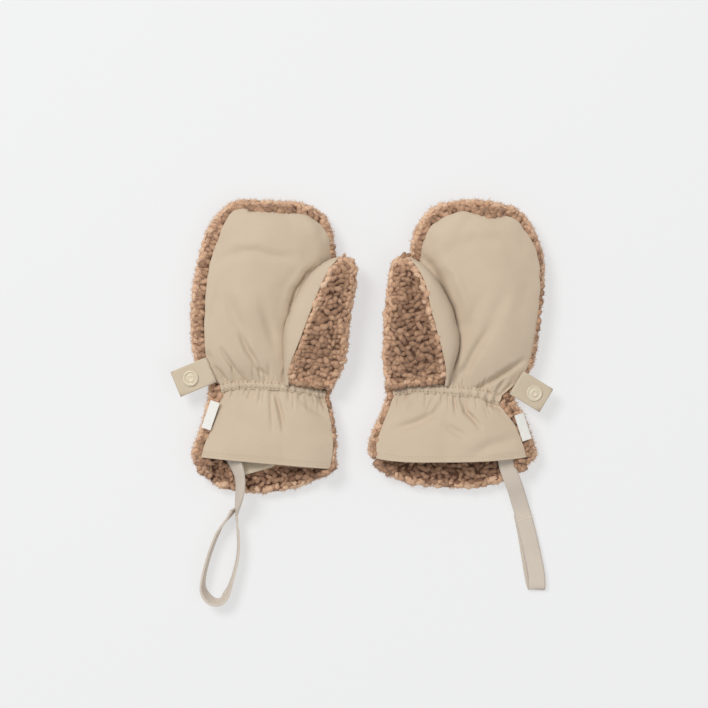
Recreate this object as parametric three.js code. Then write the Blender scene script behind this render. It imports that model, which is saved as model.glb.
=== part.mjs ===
// A pair of baby mittens laid flat, palms up: a curly pile back wrapped round to the palm seam, a smooth
// palm, a two-piece thumb, a gathered elastic casing, a flared cuff, a tab with a snap, a folded label and
// a hanging loop of elastic tape. Millimetres, +Z up, +Y towards the fingertips.
import * as THREE from 'three';

// Driving dimensions
const seamGap = 0.3;
const shellWall = 2.2;
const pile = { rim: 3, side: 5.5, under: 5.5, thumb: 4.2 };
const facingWall = 4;
const liningWall = 1.2;
const sideClear = 0.6;
const tab = { width: 16.2, wall: 1.6, hole: 2.2 };
const snapSides = 18;
// The snap's turned profile as radius and height, first below the tab and then above it for each half
const snapCap = [[0, -0.9], [4.3, -0.9], [4.8, -0.5], [4.8, 0], [1.7, 0]];
const snapFaces = {
  socket: [[1.7, 0], [4.8, 0], [4.8, 0.9], [4.4, 1.3], [3.4, 1.3], [3.2, 0.5], [2.2, 0.5], [2.2, 1.3],
    [0, 1.3]],
  disc: [[1.7, 0], [4.8, 0], [4.8, 0.6], [4.3, 1.0], [3.4, 1.0], [3.1, 0.7], [2.2, 0.7], [1.9, 1.2],
    [0, 1.2]],
};
const label = { width: 6, wall: 1 };
const tape = { width: 10, wall: 1.2 };
const steepest = 0.3;
const leastWidth = 0.001;
const frontCells = { outer: 15, inner: 9 };
const backCells = { rim: 3, turn: 3, under: 10 };
const thumbCells = { under: 2, beige: 3, top: 5, turn: 2 };
const casingCells = { outer: 30, inner: 18 };
const gather = { waves: 13, height: 0.7, reach: 2.2, evenness: 0.65, drift: 9, start: 1.3 };
const bulgeFullness = 0.85;
const turnRadius = 7;
const hemRound = 2;
const liningFrom = 0.03;
const liningTop = 2.2;
const thumbHump = 1.2;
const thumbRoom = { height: 11, least: 0.15, forThin: 0.2 };
const tipInset = { along: 0.6, across: 0.5 };

const colours = {
  shell: '#ceba9f', pile: '#95715a', casing: '#c9b79c', plastic: '#dcc9ab', label: '#e9e6df', tape: '#cbc0ae',
};

// Each table has named columns and one row for each section, from the cuff's hem to the fingertip
const table = (names, rows) => rows.map((row) => Object.fromEntries(names.map((name, i) => [name, row[i]])));
const lerp = THREE.MathUtils.lerp;
const v = (x, y, z) => new THREE.Vector3(x, y, z);

// Heights of the sections, the same on both mittens; side is where the pile reaches furthest out
const heights = table(
  ['seamOuter', 'crown', 'crease', 'innerBulge', 'seamInner', 'sideOuter', 'sideInner'],
  [
    [12.0, 19.0, 19.0, 1.5, 12.0, 7.0, 7.0],
    [15.0, 20.5, 20.5, 2.0, 15.0, 8.0, 8.0],
    [14.5, 20.0, 20.0, 2.0, 14.5, 8.0, 8.0],
    [14.0, 18.5, 18.5, 1.8, 13.5, 7.5, 7.5],
    [13.0, 16.5, 16.5, 1.5, 12.5, 7.0, 7.0],
    [12.0, 14.8, 14.8, 1.2, 10.5, 6.5, 6.0],
    [12.0, 14.8, 14.6, 1.2, 9.5, 6.5, 5.5],
    [13.5, 17.5, 15.5, 0.0, 8.5, 7.0, 5.0],
    [14.5, 20.5, 16.3, 0.0, 8.5, 7.5, 5.0],
    [15.5, 22.5, 16.6, 0.0, 8.5, 8.0, 5.0],
    [16.5, 24.0, 16.6, 0.0, 8.5, 8.5, 5.0],
    [16.5, 24.5, 16.8, 0.0, 8.5, 8.5, 5.0],
    [16.5, 24.5, 17.5, 0.2, 9.5, 8.5, 5.5],
    [16.5, 24.0, 21.0, 1.5, 12.5, 8.5, 7.0],
    [16.5, 23.0, 21.5, 2.3, 15.0, 8.5, 8.0],
    [16.2, 21.5, 20.5, 2.3, 15.3, 8.5, 8.0],
    [15.8, 19.5, 19.0, 2.0, 15.2, 8.5, 8.0],
    [15.3, 17.5, 17.3, 1.3, 14.8, 8.5, 8.0],
    [14.8, 15.8, 15.7, 0.5, 14.6, 8.3, 8.0],
    [14.5, 14.5, 14.5, 0.0, 14.5, 8.2, 8.2],
  ],
);
const row = { backHem: 0, frontHem: 1, casingLow: 5, casingHigh: 6, holeEnd: 10, tip: 19 };

// Seen from above, x grows towards the thumb and y towards the fingertips, from the middle of the wrist
const outlineNames = ['edgeOuterX', 'edgeOuterY', 'seamOuterX', 'seamOuterY', 'creaseX',
  'seamInnerX', 'seamInnerY', 'edgeInnerX', 'edgeInnerY', 'bow'];
const thumbNames = ['creaseX', 'creaseY', 'ridgeX', 'ridgeY', 'edgeX', 'edgeY', 'underX', 'underY'];
const tapeNames = ['x', 'y', 'z', 'tilt'];
const thumbHeights = table(
  ['crease', 'ridge', 'edge', 'under'],
  [
    [15.0, 18.0, 13.5, 10.3],
    [15.7, 21.5, 14.0, 9.4],
    [16.5, 25.0, 14.8, 9.2],
    [16.9, 27.0, 15.5, 9.2],
    [17.3, 28.0, 15.8, 8.7],
    [17.5, 28.2, 16.0, 8.0],
    [17.6, 28.0, 16.2, 8.2],
    [17.9, 27.0, 16.4, 9.0],
    [17.4, 25.5, 16.8, 10.0],
    [16.2, 22.5, 17.0, 12.5],
    [17.0, 17.0, 17.0, 17.0],
  ],
);

const mittens = {
  left: {
    turn: 1,
    wrist: [-53.7, 7.8],
    bowPower: { outer: 4, inner: 1.8 },
    outline: table(outlineNames, [
      [-46.0, -49.5, -42.0, -49.0, 5.0, 33.0, -50.5, 36.5, -50.0, -13.8],
      [-50.0, -42.5, -43.7, -41.5, 5.0, 33.8, -48.5, 37.4, -46.5, 0.0],
      [-49.0, -34.0, -41.5, -34.0, 5.5, 35.4, -34.5, 37.6, -35.0, 0.0],
      [-44.4, -23.0, -36.5, -22.8, 6.0, 34.4, -22.5, 36.8, -23.0, 0.0],
      [-42.0, -12.5, -33.0, -12.5, 6.5, 32.2, -13.0, 34.9, -13.0, 1.0],
      [-40.3, -4.5, -31.5, -2.5, 6.5, 30.3, -6.0, 33.6, -6.0, 3.4],
      [-39.8, 1.5, -32.2, 2.0, 6.5, 31.0, -2.2, 34.2, -1.0, 3.7],
      [-44.5, 9.0, -37.0, 8.0, 6.2, 32.6, 6.5, 36.2, 8.0, 2.0],
      [-48.6, 17.5, -40.2, 17.0, 6.0, 33.8, 16.5, 37.4, 17.0, 0.5],
      [-50.4, 28.5, -41.3, 28.0, 5.8, 34.4, 28.0, 37.9, 28.5, 0.0],
      [-50.9, 42.0, -41.3, 42.0, 6.7, 34.7, 42.0, 38.0, 42.0, 0.0],
      [-50.0, 58.0, -40.4, 58.5, 15.0, 34.9, 58.0, 38.0, 58.0, 0.0],
      [-47.2, 73.0, -38.3, 73.0, 25.0, 34.9, 71.0, 37.8, 72.0, 0.0],
      [-44.4, 84.5, -35.0, 84.0, 18.0, 34.2, 81.5, 37.0, 82.5, 0.0],
      [-41.5, 94.0, -31.6, 93.0, 12.0, 32.6, 90.0, 35.9, 92.0, 0.0],
      [-37.0, 101.5, -28.5, 100.5, 10.0, 29.5, 96.0, 33.4, 99.8, 0.0],
      [-31.0, 108.5, -24.0, 106.0, 8.0, 24.5, 100.5, 28.3, 106.0, 0.0],
      [-21.5, 113.8, -16.5, 107.3, 5.0, 16.5, 104.0, 19.5, 111.0, 0.0],
      [-10.5, 113.7, -8.0, 105.4, 2.0, 8.0, 104.8, 9.0, 112.8, 0.0],
      [-0.5, 113.2, 0.0, 104.8, 0.0, 0.0, 104.8, -0.5, 113.2, 0.0],
    ]),
    thumb: table(thumbNames, [
      [6.5, 3.6, 8.6, 3.4, 34.6, -0.6, 31.4, -1.2],
      [6.3, 10.5, 9.0, 10.8, 40.8, 8.6, 33.2, 8.2],
      [6.1, 18.5, 11.3, 18.5, 43.8, 17.5, 34.4, 17.3],
      [5.9, 29.0, 15.6, 29.0, 45.4, 28.5, 35.0, 28.5],
      [6.8, 42.2, 20.6, 42.4, 46.6, 42.4, 36.5, 42.4],
      [11.0, 50.0, 23.8, 50.8, 48.0, 51.0, 39.5, 51.0],
      [15.5, 58.5, 27.2, 59.3, 49.4, 60.0, 40.5, 60.0],
      [21.3, 67.5, 31.0, 67.6, 50.4, 68.4, 41.5, 68.0],
      [27.8, 73.0, 35.0, 73.8, 49.6, 74.8, 43.0, 73.8],
      [33.0, 76.4, 38.2, 77.2, 46.2, 78.2, 42.5, 77.2],
      [40.5, 79.2, 40.5, 79.2, 40.5, 79.2, 40.5, 79.2],
    ]),
    facingDepth: { outer: 1.25, middle: 0.62, dip: 0.3, inner: 1.3 },
    liningShows: true,
    snapKind: 'socket',
    tab: { seam: [-37.2, 11.2], bearing: 202.5, length: 24, snapAt: 13.9, lift: 15.9, pitch: 8.5 },
    label: { seam: [-35.0, -17.4], bearing: 161, length: 17.3, lift: 15.0, pitch: 14 },
    tape: table(tapeNames, [
      [-31.5, -26.0, 10.6, 6], [-28.0, -34.0, 12.2, 18], [-24.2, -42.6, 13.7, 32], [-21.4, -49.5, 14.7, 50],
      [-20.2, -56.0, 14.9, 56], [-20.5, -63.0, 14.7, 60], [-21.8, -68.5, 11.4, 68], [-22.9, -73.5, 7.6, 78],
      [-23.0, -78.5, 5.5, 88], [-22.3, -84.0, 5.2, 90], [-21.7, -93.0, 5.2, 90], [-22.3, -102.6, 5.2, 90],
      [-24.8, -113.0, 5.2, 90], [-28.0, -122.5, 5.2, 90], [-31.4, -127.8, 5.2, 90], [-35.4, -129.4, 5.2, 90],
      [-39.6, -127.6, 5.2, 90], [-42.8, -122.6, 5.2, 90], [-43.2, -117.5, 5.2, 90], [-41.6, -109.0, 5.2, 90],
      [-38.2, -97.5, 5.2, 90], [-33.6, -86.4, 5.2, 90], [-29.6, -80.6, 5.4, 88], [-26.6, -76.8, 6.2, 82],
      [-24.7, -73.2, 7.4, 78],
    ]),
  },
  right: {
    turn: -1,
    wrist: [51.0, 6.6],
    bowPower: { outer: 2.5, inner: 4 },
    outline: table(outlineNames, [
      [-48.5, -46.5, -44.5, -46.0, 2.0, 41.5, -42.5, 45.5, -42.0, -15.3],
      [-53.8, -39.5, -46.8, -40.2, 2.0, 43.3, -41.0, 48.6, -38.0, -2.4],
      [-52.2, -32.0, -44.3, -32.0, 2.0, 43.0, -31.0, 47.8, -31.0, 0.0],
      [-49.0, -21.5, -40.0, -21.5, 1.0, 39.4, -21.0, 44.0, -21.0, 0.0],
      [-45.2, -13.0, -34.0, -13.5, 0.5, 35.8, -12.0, 40.5, -12.0, 1.0],
      [-41.6, -8.0, -30.2, -8.4, 0.0, 32.6, -3.8, 37.6, -5.0, 3.6],
      [-41.2, -3.0, -32.0, -3.2, -0.2, 33.3, -0.2, 37.8, 0.0, 4.4],
      [-46.8, 6.5, -42.6, 6.5, -1.6, 33.0, 7.2, 37.3, 8.0, 1.6],
      [-52.3, 17.0, -48.0, 16.5, -4.2, 31.4, 17.0, 35.9, 17.5, 0.0],
      [-53.4, 28.0, -50.8, 27.5, -6.6, 29.0, 27.5, 33.4, 28.0, 0.0],
      [-55.0, 42.0, -52.8, 41.5, -5.5, 25.6, 41.0, 30.2, 42.0, 0.0],
      [-56.8, 57.5, -54.2, 56.0, 1.6, 21.8, 56.0, 26.8, 57.0, 0.0],
      [-58.0, 72.0, -54.6, 70.0, 9.5, 18.4, 70.0, 24.2, 71.0, 0.0],
      [-57.0, 82.5, -52.8, 81.0, 0.0, 16.7, 80.5, 23.1, 82.0, 0.0],
      [-54.2, 91.0, -48.8, 90.0, -6.0, 15.0, 89.0, 22.4, 90.5, 0.0],
      [-50.6, 98.8, -44.8, 97.2, -9.0, 11.8, 96.0, 19.6, 98.4, 0.0],
      [-45.2, 106.8, -39.6, 102.6, -12.0, 6.8, 100.8, 14.4, 105.2, 0.0],
      [-36.2, 111.8, -32.0, 104.6, -14.0, -1.0, 105.2, 6.0, 112.0, 0.0],
      [-26.5, 113.6, -24.2, 104.2, -15.5, -8.6, 106.6, -6.6, 114.4, 0.0],
      [-16.5, 115.0, -16.0, 105.6, -16.0, -16.0, 105.6, -16.5, 115.0, 0.0],
    ]),
    thumb: table(thumbNames, [
      [0.1, 4.7, 2.2, 4.7, 37.0, 0.8, 33.8, 0.8],
      [-1.3, 9.6, 1.4, 10.4, 38.8, 9.0, 33.5, 8.6],
      [-3.9, 18.0, 2.6, 18.0, 39.8, 17.5, 32.0, 17.5],
      [-6.3, 28.0, 5.0, 28.0, 40.0, 28.0, 29.8, 28.0],
      [-5.2, 41.6, 9.0, 42.2, 39.3, 42.4, 28.0, 42.2],
      [-2.2, 48.6, 11.0, 49.6, 38.5, 50.6, 28.8, 50.0],
      [1.8, 56.6, 12.4, 57.6, 37.4, 59.8, 28.2, 58.6],
      [6.8, 65.2, 14.8, 66.0, 36.8, 68.4, 27.6, 67.0],
      [12.2, 71.8, 18.6, 72.8, 35.2, 75.2, 27.6, 74.0],
      [17.4, 76.0, 22.0, 77.4, 31.6, 79.2, 27.0, 78.2],
      [25.6, 80.8, 25.6, 80.8, 25.6, 80.8, 25.6, 80.8],
    ]),
    facingDepth: { outer: 1.3, middle: 1.3, dip: 0.3, inner: 1.3 },
    liningShows: false,
    snapKind: 'disc',
    tab: { seam: [-40.35, 4.75], bearing: 211.2, length: 21.7, snapAt: 12.9, lift: 15.9, pitch: 8.5 },
    label: { seam: [-41.65, -23.15], bearing: 162.3, length: 16.3, lift: 15.6, pitch: 14 },
    tape: table(tapeNames, [
      [-35.0, -26.0, 11.75, 0], [-33.8, -34.0, 12.6, 0], [-34.9, -43.4, 12.2, 0], [-36.9, -50.0, 11.4, 0],
      [-39.6, -57.0, 9.4, 0], [-41.9, -63.5, 5.9, 0], [-43.9, -70.0, 3.4, 0], [-45.8, -76.0, 2.3, 0],
      [-48.9, -88.0, 2.3, 0], [-51.6, -100.0, 2.6, 0], [-53.7, -111.0, 3.1, 0], [-54.1, -117.0, 3.4, 0],
      [-54.0, -119.6, 3.1, 0], [-53.8, -120.6, 2.0, 0], [-53.4, -119.6, 0.9, 0], [-52.2, -116.0, 0.7, 0],
      [-50.7, -107.0, 0.7, 0], [-49.2, -98.0, 0.7, 0], [-47.6, -88.0, 0.7, 0], [-46.0, -80.0, 0.7, 0],
      [-45.0, -75.0, 0.7, 0],
    ]),
  },
};

// One closed body from points and triangles: merged, without flat triangles, and facing out;
// a turn of -1 mirrors it for the other hand
function closedGeometry(points, triangles, turn = 1) {
  const found = new Map();
  const positions = [];
  const merged = points.map((point) => {
    const key = point.toArray().map((value) => Math.round(value * 1000)).join();
    if (!found.has(key)) {
      found.set(key, positions.length / 3);
      positions.push(point.x * turn, point.y, point.z);
    }
    return found.get(key);
  });
  const index = triangles
    .map((corners) => corners.map((corner) => merged[corner]))
    .filter(([a, b, c]) => a !== b && b !== c && a !== c);
  const at = (i) => new THREE.Vector3().fromArray(positions, i * 3);
  const volume = index.reduce((sum, [a, b, c]) => sum + at(a).dot(at(b).cross(at(c))), 0);
  const facingOut = volume < 0 ? index.map(([a, b, c]) => [a, c, b]) : index;
  const geometry = new THREE.BufferGeometry();
  geometry.setAttribute('position', new THREE.Float32BufferAttribute(positions, 3));
  geometry.setIndex(facingOut.flat());
  geometry.computeVertexNormals();
  return geometry;
}

// A wall of cloth between a grid of outer points and the same grid moved in; `present` leaves cells out,
// and an end where the rows draw together to a point needs no wall of its own
function clothWall(grid, { turn, present = () => true, pointedEnd = false }) {
  const rows = grid.length;
  const columns = grid[0].length;
  const points = grid.flatMap((line) => line.flatMap(({ out, wall }) => [out, out.clone().add(wall)]));
  const outer = (i, j) => 2 * (i * columns + j);
  const inner = (i, j) => outer(i, j) + 1;
  const isCell = (i, j) => i >= 0 && j >= 0 && i < rows - 1 && j < columns - 1 && present(i, j);
  const triangles = [];
  const quad = (a, b, c, d) => triangles.push([a, b, c], [a, c, d]);
  const rim = (i, j, k, l) => quad(outer(k, l), outer(i, j), inner(i, j), inner(k, l));
  for (let i = 0; i < rows - 1; i += 1) {
    for (let j = 0; j < columns - 1; j += 1) {
      if (!isCell(i, j)) continue;
      quad(outer(i, j), outer(i, j + 1), outer(i + 1, j + 1), outer(i + 1, j));
      quad(inner(i, j), inner(i + 1, j), inner(i + 1, j + 1), inner(i, j + 1));
      if (!isCell(i - 1, j)) rim(i, j, i, j + 1);
      if (!isCell(i, j + 1)) rim(i, j + 1, i + 1, j + 1);
      if (!isCell(i + 1, j) && !(pointedEnd && i === rows - 2)) rim(i + 1, j + 1, i + 1, j);
      if (!isCell(i, j - 1)) rim(i + 1, j, i, j);
    }
  }
  return closedGeometry(points, triangles, turn);
}

// The value of every column of a table at a place between two of its rows
function between(rows, place) {
  const low = Math.min(Math.floor(place), rows.length - 2);
  return Object.fromEntries(
    Object.keys(rows[0]).map((name) => [name, lerp(rows[low][name], rows[low + 1][name], place - low)]),
  );
}

// How far a row bows towards its hem or fingertip, from 0 at its ends to 1 in the middle
const bowShape = (share, power) => 1 - Math.abs(2 * share - 1) ** (share < 0.5 ? power.outer : power.inner);

// Which way is in, seen from above, at a point of an outline whose inside is on its right or left
function inwardAt(points, i, insideRight) {
  const before = points[Math.max(i - 1, 0)];
  const after = points[Math.min(i + 1, points.length - 1)];
  const along = v(after[0] - before[0], after[1] - before[1], 0).normalize();
  return insideRight ? v(along.y, -along.x, 0) : v(-along.y, along.x, 0);
}

// Gathers: soft ridges across the front, highest at the casing and gone a little way from it
function gathers(across, place) {
  const distance = Math.max(row.casingLow - place, place - row.casingHigh, 0);
  const fade = Math.max(1 - distance / gather.reach, 0) ** 2;
  const uneven = lerp(Math.sin(gather.drift * across + gather.start), 1, gather.evenness);
  return gather.height * fade * uneven * Math.cos(2 * Math.PI * gather.waves * across);
}

// A point of the front's outer surface; part 0 to 1 is outer seam to crease, 1 to 2 crease to thumb side
function frontPoint(mitten, place, part) {
  const plan = between(mitten.outline, place);
  const high = between(heights, place);
  const x = part < 1
    ? lerp(plan.seamOuterX, plan.creaseX, part)
    : lerp(plan.creaseX, plan.seamInnerX, part - 1);
  const width = Math.max(plan.seamInnerX - plan.seamOuterX, leastWidth);
  const across = THREE.MathUtils.clamp((x - plan.seamOuterX) / width, 0, 1);
  const y = lerp(plan.seamOuterY, plan.seamInnerY, across) + plan.bow * bowShape(across, mitten.bowPower);
  const outerBulge = high.crown - (high.seamOuter + high.crease) / 2;
  const z = part < 1
    ? lerp(high.seamOuter, high.crease, part) + outerBulge * Math.sin(Math.PI * part) ** bulgeFullness
    : lerp(high.crease, high.seamInner, part - 1) + high.innerBulge * Math.sin(Math.PI * (part - 1));
  return v(x, y, z + gathers(across, place));
}

// A front piece over some places of the outline, drawn in by half a seam gap at its edges
function frontGrid(mitten, places, cells, wall) {
  const parts = [];
  for (let j = 0; j <= cells.outer; j += 1) parts.push(j / cells.outer);
  for (let j = 1; j <= cells.inner; j += 1) parts.push(1 + j / cells.inner);
  const half = seamGap / 2;
  return places.map((place, i) => parts.map((part) => {
    const out = frontPoint(mitten, place, part);
    if (i === 0) out.y += half;
    if (i === places.length - 1) out.y -= half;
    if (place !== row.tip) out.x += part === 0 ? half : part === 2 ? -half : 0;
    return { out, wall: v(0, 0, -wall) };
  }));
}

// One side of the back's section: from the seam over the rim to the furthest reach, then down to the ground
function backSide(seam, edge, inward, shift) {
  const points = [];
  const quarter = Math.PI / 2;
  for (let k = 0; k < backCells.rim; k += 1) {
    const angle = (k / backCells.rim) * quarter;
    const out = seam.clone().lerp(edge, Math.sin(angle)).addScaledVector(shift, Math.cos(angle));
    out.z = lerp(edge.z, seam.z, Math.cos(angle));
    const wall = v(0, 0, -pile.rim * Math.cos(angle)).addScaledVector(inward, pile.side * Math.sin(angle));
    points.push({ out, wall });
  }
  for (let k = 0; k <= backCells.turn; k += 1) {
    const angle = (k / backCells.turn) * quarter;
    const out = edge.clone().addScaledVector(inward, turnRadius * (1 - Math.cos(angle)));
    out.z = edge.z * (1 - Math.sin(angle));
    const wall = v(0, 0, pile.under * Math.sin(angle)).addScaledVector(inward, pile.side * Math.cos(angle));
    points.push({ out, wall });
  }
  return points;
}

// The back's section, from the outer seam round the side, flat on the ground and up to the thumb side
function backLine(mitten, place) {
  const plan = between(mitten.outline, place);
  const high = between(heights, place);
  const outerEdge = mitten.outline.map((line) => [line.edgeOuterX, line.edgeOuterY]);
  const innerEdge = mitten.outline.map((line) => [line.edgeInnerX, line.edgeInnerY]);
  const near = Math.floor(place);
  const pastOuter = [...outerEdge, innerEdge.at(-2)];
  const pastInner = [...innerEdge, outerEdge.at(-2)];
  const inwardFrom = (points, insideRight) => {
    const low = near === row.backHem ? v(insideRight ? 1 : -1, 0, 0) : inwardAt(points, near, insideRight);
    return low.lerp(inwardAt(points, Math.min(near + 1, row.tip), insideRight), place - near);
  };
  const shift = place === row.tip ? v(0, seamGap / 2, 0) : v(-seamGap / 2, 0, 0);
  const outerSide = backSide(
    v(plan.seamOuterX, plan.seamOuterY, high.seamOuter),
    v(plan.edgeOuterX, plan.edgeOuterY, high.sideOuter),
    inwardFrom(pastOuter, true),
    shift,
  );
  const innerSide = backSide(
    v(plan.seamInnerX, plan.seamInnerY, high.seamInner),
    v(plan.edgeInnerX, plan.edgeInnerY, high.sideInner),
    inwardFrom(pastInner, false),
    place === row.tip ? shift : shift.clone().negate(),
  ).reverse();
  const under = [];
  for (let k = 1; k < backCells.under; k += 1) {
    const out = outerSide.at(-1).out.clone().lerp(innerSide[0].out, k / backCells.under);
    under.push({ out, wall: v(0, 0, pile.under) });
  }
  const line = [...outerSide, ...under, ...innerSide];
  const pastFront = Math.max(row.frontHem - place, 0);
  const from = lerp(plan.seamOuterX, plan.edgeOuterX, pastFront);
  const width = Math.max(lerp(plan.seamInnerX, plan.edgeInnerX, pastFront) - from, leastWidth);
  line.forEach(({ out, wall }) => {
    const across = THREE.MathUtils.clamp((out.x - from) / width, 0, 1);
    out.y += plan.bow * bowShape(across, mitten.bowPower);
    if (place !== row.backHem) return;
    out.y += hemRound;
    wall.y -= hemRound;
  });
  return line;
}

// What lies on the back's inside is made from the back's inner points, moved up; placeAt gives the two
// places of the outline between which it lies at each share of the width
function lyingOnBack(mitten, placeAt, wall, lift) {
  const first = backCells.rim + backCells.turn;
  const steps = [0, 1, 2];
  return steps.map((step) => {
    const line = [];
    for (let k = 0; k <= backCells.under; k += 1) {
      const place = placeAt(k / backCells.under, step / 2);
      const below = backLine(mitten, place)[first + k];
      const out = below.out.clone().add(below.wall).add(v(0, 0, lift));
      if (k === 0) out.x += sideClear;
      if (k === backCells.under) out.x -= sideClear;
      line.push({ out, wall: v(0, place === row.backHem ? hemRound : 0, wall) });
    }
    return line;
  });
}

// How far the facing reaches in from the hem, in rows of the outline
const facingEnd = ({ facingDepth: depth }, share) => (share < depth.dip
  ? lerp(depth.outer, depth.middle, share / depth.dip)
  : lerp(depth.middle, depth.inner, (share - depth.dip) / (1 - depth.dip)));

// Where each thumb section's points lie: its named corners, wall thicknesses and ways in
function thumbSections(mitten) {
  const plan = mitten.thumb;
  const creaseLine = plan.map((line) => [line.creaseX, line.creaseY]);
  const edgeLine = plan.map((line) => [line.edgeX, line.edgeY]);
  return plan.map((line, i) => {
    const high = thumbHeights[i];
    const roomy = Math.min(1, (high.ridge - high.under) / thumbRoom.height + thumbRoom.least);
    const crease = v(line.creaseX, line.creaseY, high.crease);
    const under = v(line.underX, line.underY, high.under);
    return {
      crease,
      under,
      ridge: v(line.ridgeX, line.ridgeY, high.ridge),
      edge: v(line.edgeX, line.edgeY, high.edge),
      lowerSeam: crease.clone().lerp(under, 0.5),
      inFromCrease: inwardAt(creaseLine, i, true),
      inFromEdge: inwardAt(edgeLine, i, false),
      thick: pile.thumb * roomy,
      thin: shellWall * Math.min(1, roomy + thumbRoom.forThin),
    };
  });
}

// The thumb's smooth half, from the lower seam under the thumb round the crease and up to the ridge
function thumbInnerGrid(mitten) {
  const sections = thumbSections(mitten);
  const half = v(-seamGap / 2, 0, 0);
  const tip = sections.at(-1);
  const back = sections.at(-3).ridge.clone().sub(tip.ridge).setZ(0).normalize();
  return sections.map(({ crease, ridge, lowerSeam, inFromCrease, thin }) => {
    const line = [];
    for (let k = 0; k < thumbCells.under; k += 1) {
      const out = lowerSeam.clone().lerp(crease, k / thumbCells.under);
      line.push({ out: k === 0 ? out.add(half) : out, wall: v(0, 0, thin) });
    }
    for (let k = 0; k <= thumbCells.beige; k += 1) {
      const angle = (k / thumbCells.beige) * (Math.PI / 2);
      const out = crease.clone().lerp(ridge, 1 - Math.cos(angle));
      out.z = lerp(crease.z, ridge.z, Math.sin(angle));
      const wall = v(0, 0, k === 0 ? thin : -thin * Math.sin(angle));
      wall.addScaledVector(inFromCrease, thin * Math.cos(angle));
      line.push({ out: k === thumbCells.beige ? out.add(half) : out, wall });
    }
    if (crease !== tip.crease) return line;
    const point = tip.crease.clone().addScaledVector(back, tipInset.along).add(v(-tipInset.across, 0, 0));
    return line.map(() => ({ out: point.clone(), wall: back.clone().multiplyScalar(thin) }));
  });
}

// The thumb's pile half, from the ridge over to the furthest reach and under to the lower seam
function thumbOuterGrid(mitten) {
  const sections = thumbSections(mitten);
  const half = v(seamGap / 2, 0, 0);
  const tip = sections.at(-1);
  const back = sections.at(-3).ridge.clone().sub(tip.ridge).setZ(0).normalize();
  return sections.map(({ ridge, edge, under, lowerSeam, inFromEdge, thick }) => {
    const line = [];
    for (let k = 0; k <= thumbCells.top; k += 1) {
      const angle = (k / thumbCells.top) * (Math.PI / 2);
      const out = ridge.clone().lerp(edge, Math.sin(angle));
      out.z = lerp(edge.z, ridge.z, Math.cos(angle)) + thumbHump * Math.sin(2 * angle);
      const wall = v(0, 0, -thick * Math.cos(angle)).addScaledVector(inFromEdge, thick * Math.sin(angle));
      line.push({ out: k === 0 ? out.add(half) : out, wall });
    }
    for (let k = 1; k <= thumbCells.turn; k += 1) {
      const angle = (k / thumbCells.turn) * (Math.PI / 2);
      const out = under.clone().lerp(edge, Math.cos(angle));
      out.z = lerp(edge.z, under.z, Math.sin(angle));
      const wall = v(0, 0, thick * Math.sin(angle)).addScaledVector(inFromEdge, thick * Math.cos(angle));
      line.push({ out, wall });
    }
    for (let k = 1; k <= thumbCells.under; k += 1) {
      const out = under.clone().lerp(lowerSeam, k / thumbCells.under);
      line.push({ out: k === thumbCells.under ? out.add(half) : out, wall: v(0, 0, thick) });
    }
    if (ridge !== tip.ridge) return line;
    return line.map(() => ({ out: tip.ridge.clone(), wall: back.clone().multiplyScalar(thick) }));
  });
}

// A flat tape swept along its line, turned about it by each row's tilt
function tapeGeometry(rows, turn) {
  const centres = rows.map(({ x, y, z }) => v(x, y, z));
  const corners = [[-1, -1], [1, -1], [1, 1], [-1, 1]];
  const last = rows.length - 1;
  const points = [];
  const level = v(1, 0, 0);
  rows.forEach(({ tilt }, i) => {
    const along = centres[Math.min(i + 1, last)].clone().sub(centres[Math.max(i - 1, 0)]).normalize();
    const flat = v(-along.y, along.x, 0);
    if (flat.length() > steepest) level.copy(flat.multiplyScalar(Math.sign(flat.dot(level)) || 1));
    level.addScaledVector(along, -level.dot(along)).normalize();
    const face = along.clone().cross(level);
    const angle = THREE.MathUtils.degToRad(tilt);
    const wide = level.clone().multiplyScalar(Math.cos(angle)).addScaledVector(face, Math.sin(angle));
    const thick = along.clone().cross(wide);
    corners.forEach(([w, t]) => points.push(centres[i].clone()
      .addScaledVector(wide, w * tape.width / 2).addScaledVector(thick, t * tape.wall / 2)));
  });
  const triangles = [[0, 2, 1], [0, 3, 2]];
  for (let i = 0; i < last; i += 1) {
    for (let k = 0; k < 4; k += 1) {
      const [a, b] = [4 * i + k, 4 * i + ((k + 1) % 4)];
      triangles.push([a, b, b + 4], [a, b + 4, a + 4]);
    }
  }
  const end = 4 * last;
  triangles.push([end, end + 1, end + 2], [end, end + 2, end + 3]);
  return closedGeometry(points, triangles, turn);
}

// The tab is a flat strip with a hole for the snap's post
function tabGeometry({ length, snapAt }) {
  const half = tab.width / 2;
  const shape = new THREE.Shape();
  shape.moveTo(seamGap, -half);
  shape.lineTo(length, -half);
  shape.lineTo(length, half);
  shape.lineTo(seamGap, half);
  shape.closePath();
  const hole = new THREE.Path();
  hole.absarc(snapAt, 0, tab.hole, 0, 2 * Math.PI, true);
  shape.holes.push(hole);
  const options = { depth: tab.wall, bevelEnabled: false, curveSegments: 8 };
  return new THREE.ExtrudeGeometry(shape, options).translate(0, 0, -tab.wall / 2);
}

// The snap is one turned body: a cap under the tab, a post through its hole, and a face on top
function snapGeometry(kind) {
  const clear = tab.wall / 2 + seamGap;
  const below = snapCap.map(([radius, height]) => new THREE.Vector2(radius, height - clear));
  const above = snapFaces[kind].map(([radius, height]) => new THREE.Vector2(radius, height + clear));
  return new THREE.LatheGeometry([...below, ...above], snapSides).rotateX(Math.PI / 2);
}

const material = (slot) => new THREE.MeshStandardMaterial({
  color: colours[slot],
  roughness: slot === 'plastic' ? 0.4 : 0.9,
  metalness: 0,
});

function piece(name, geometry, slot) {
  const mesh = new THREE.Mesh(geometry, material(slot));
  mesh.name = name;
  return mesh;
}

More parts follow.
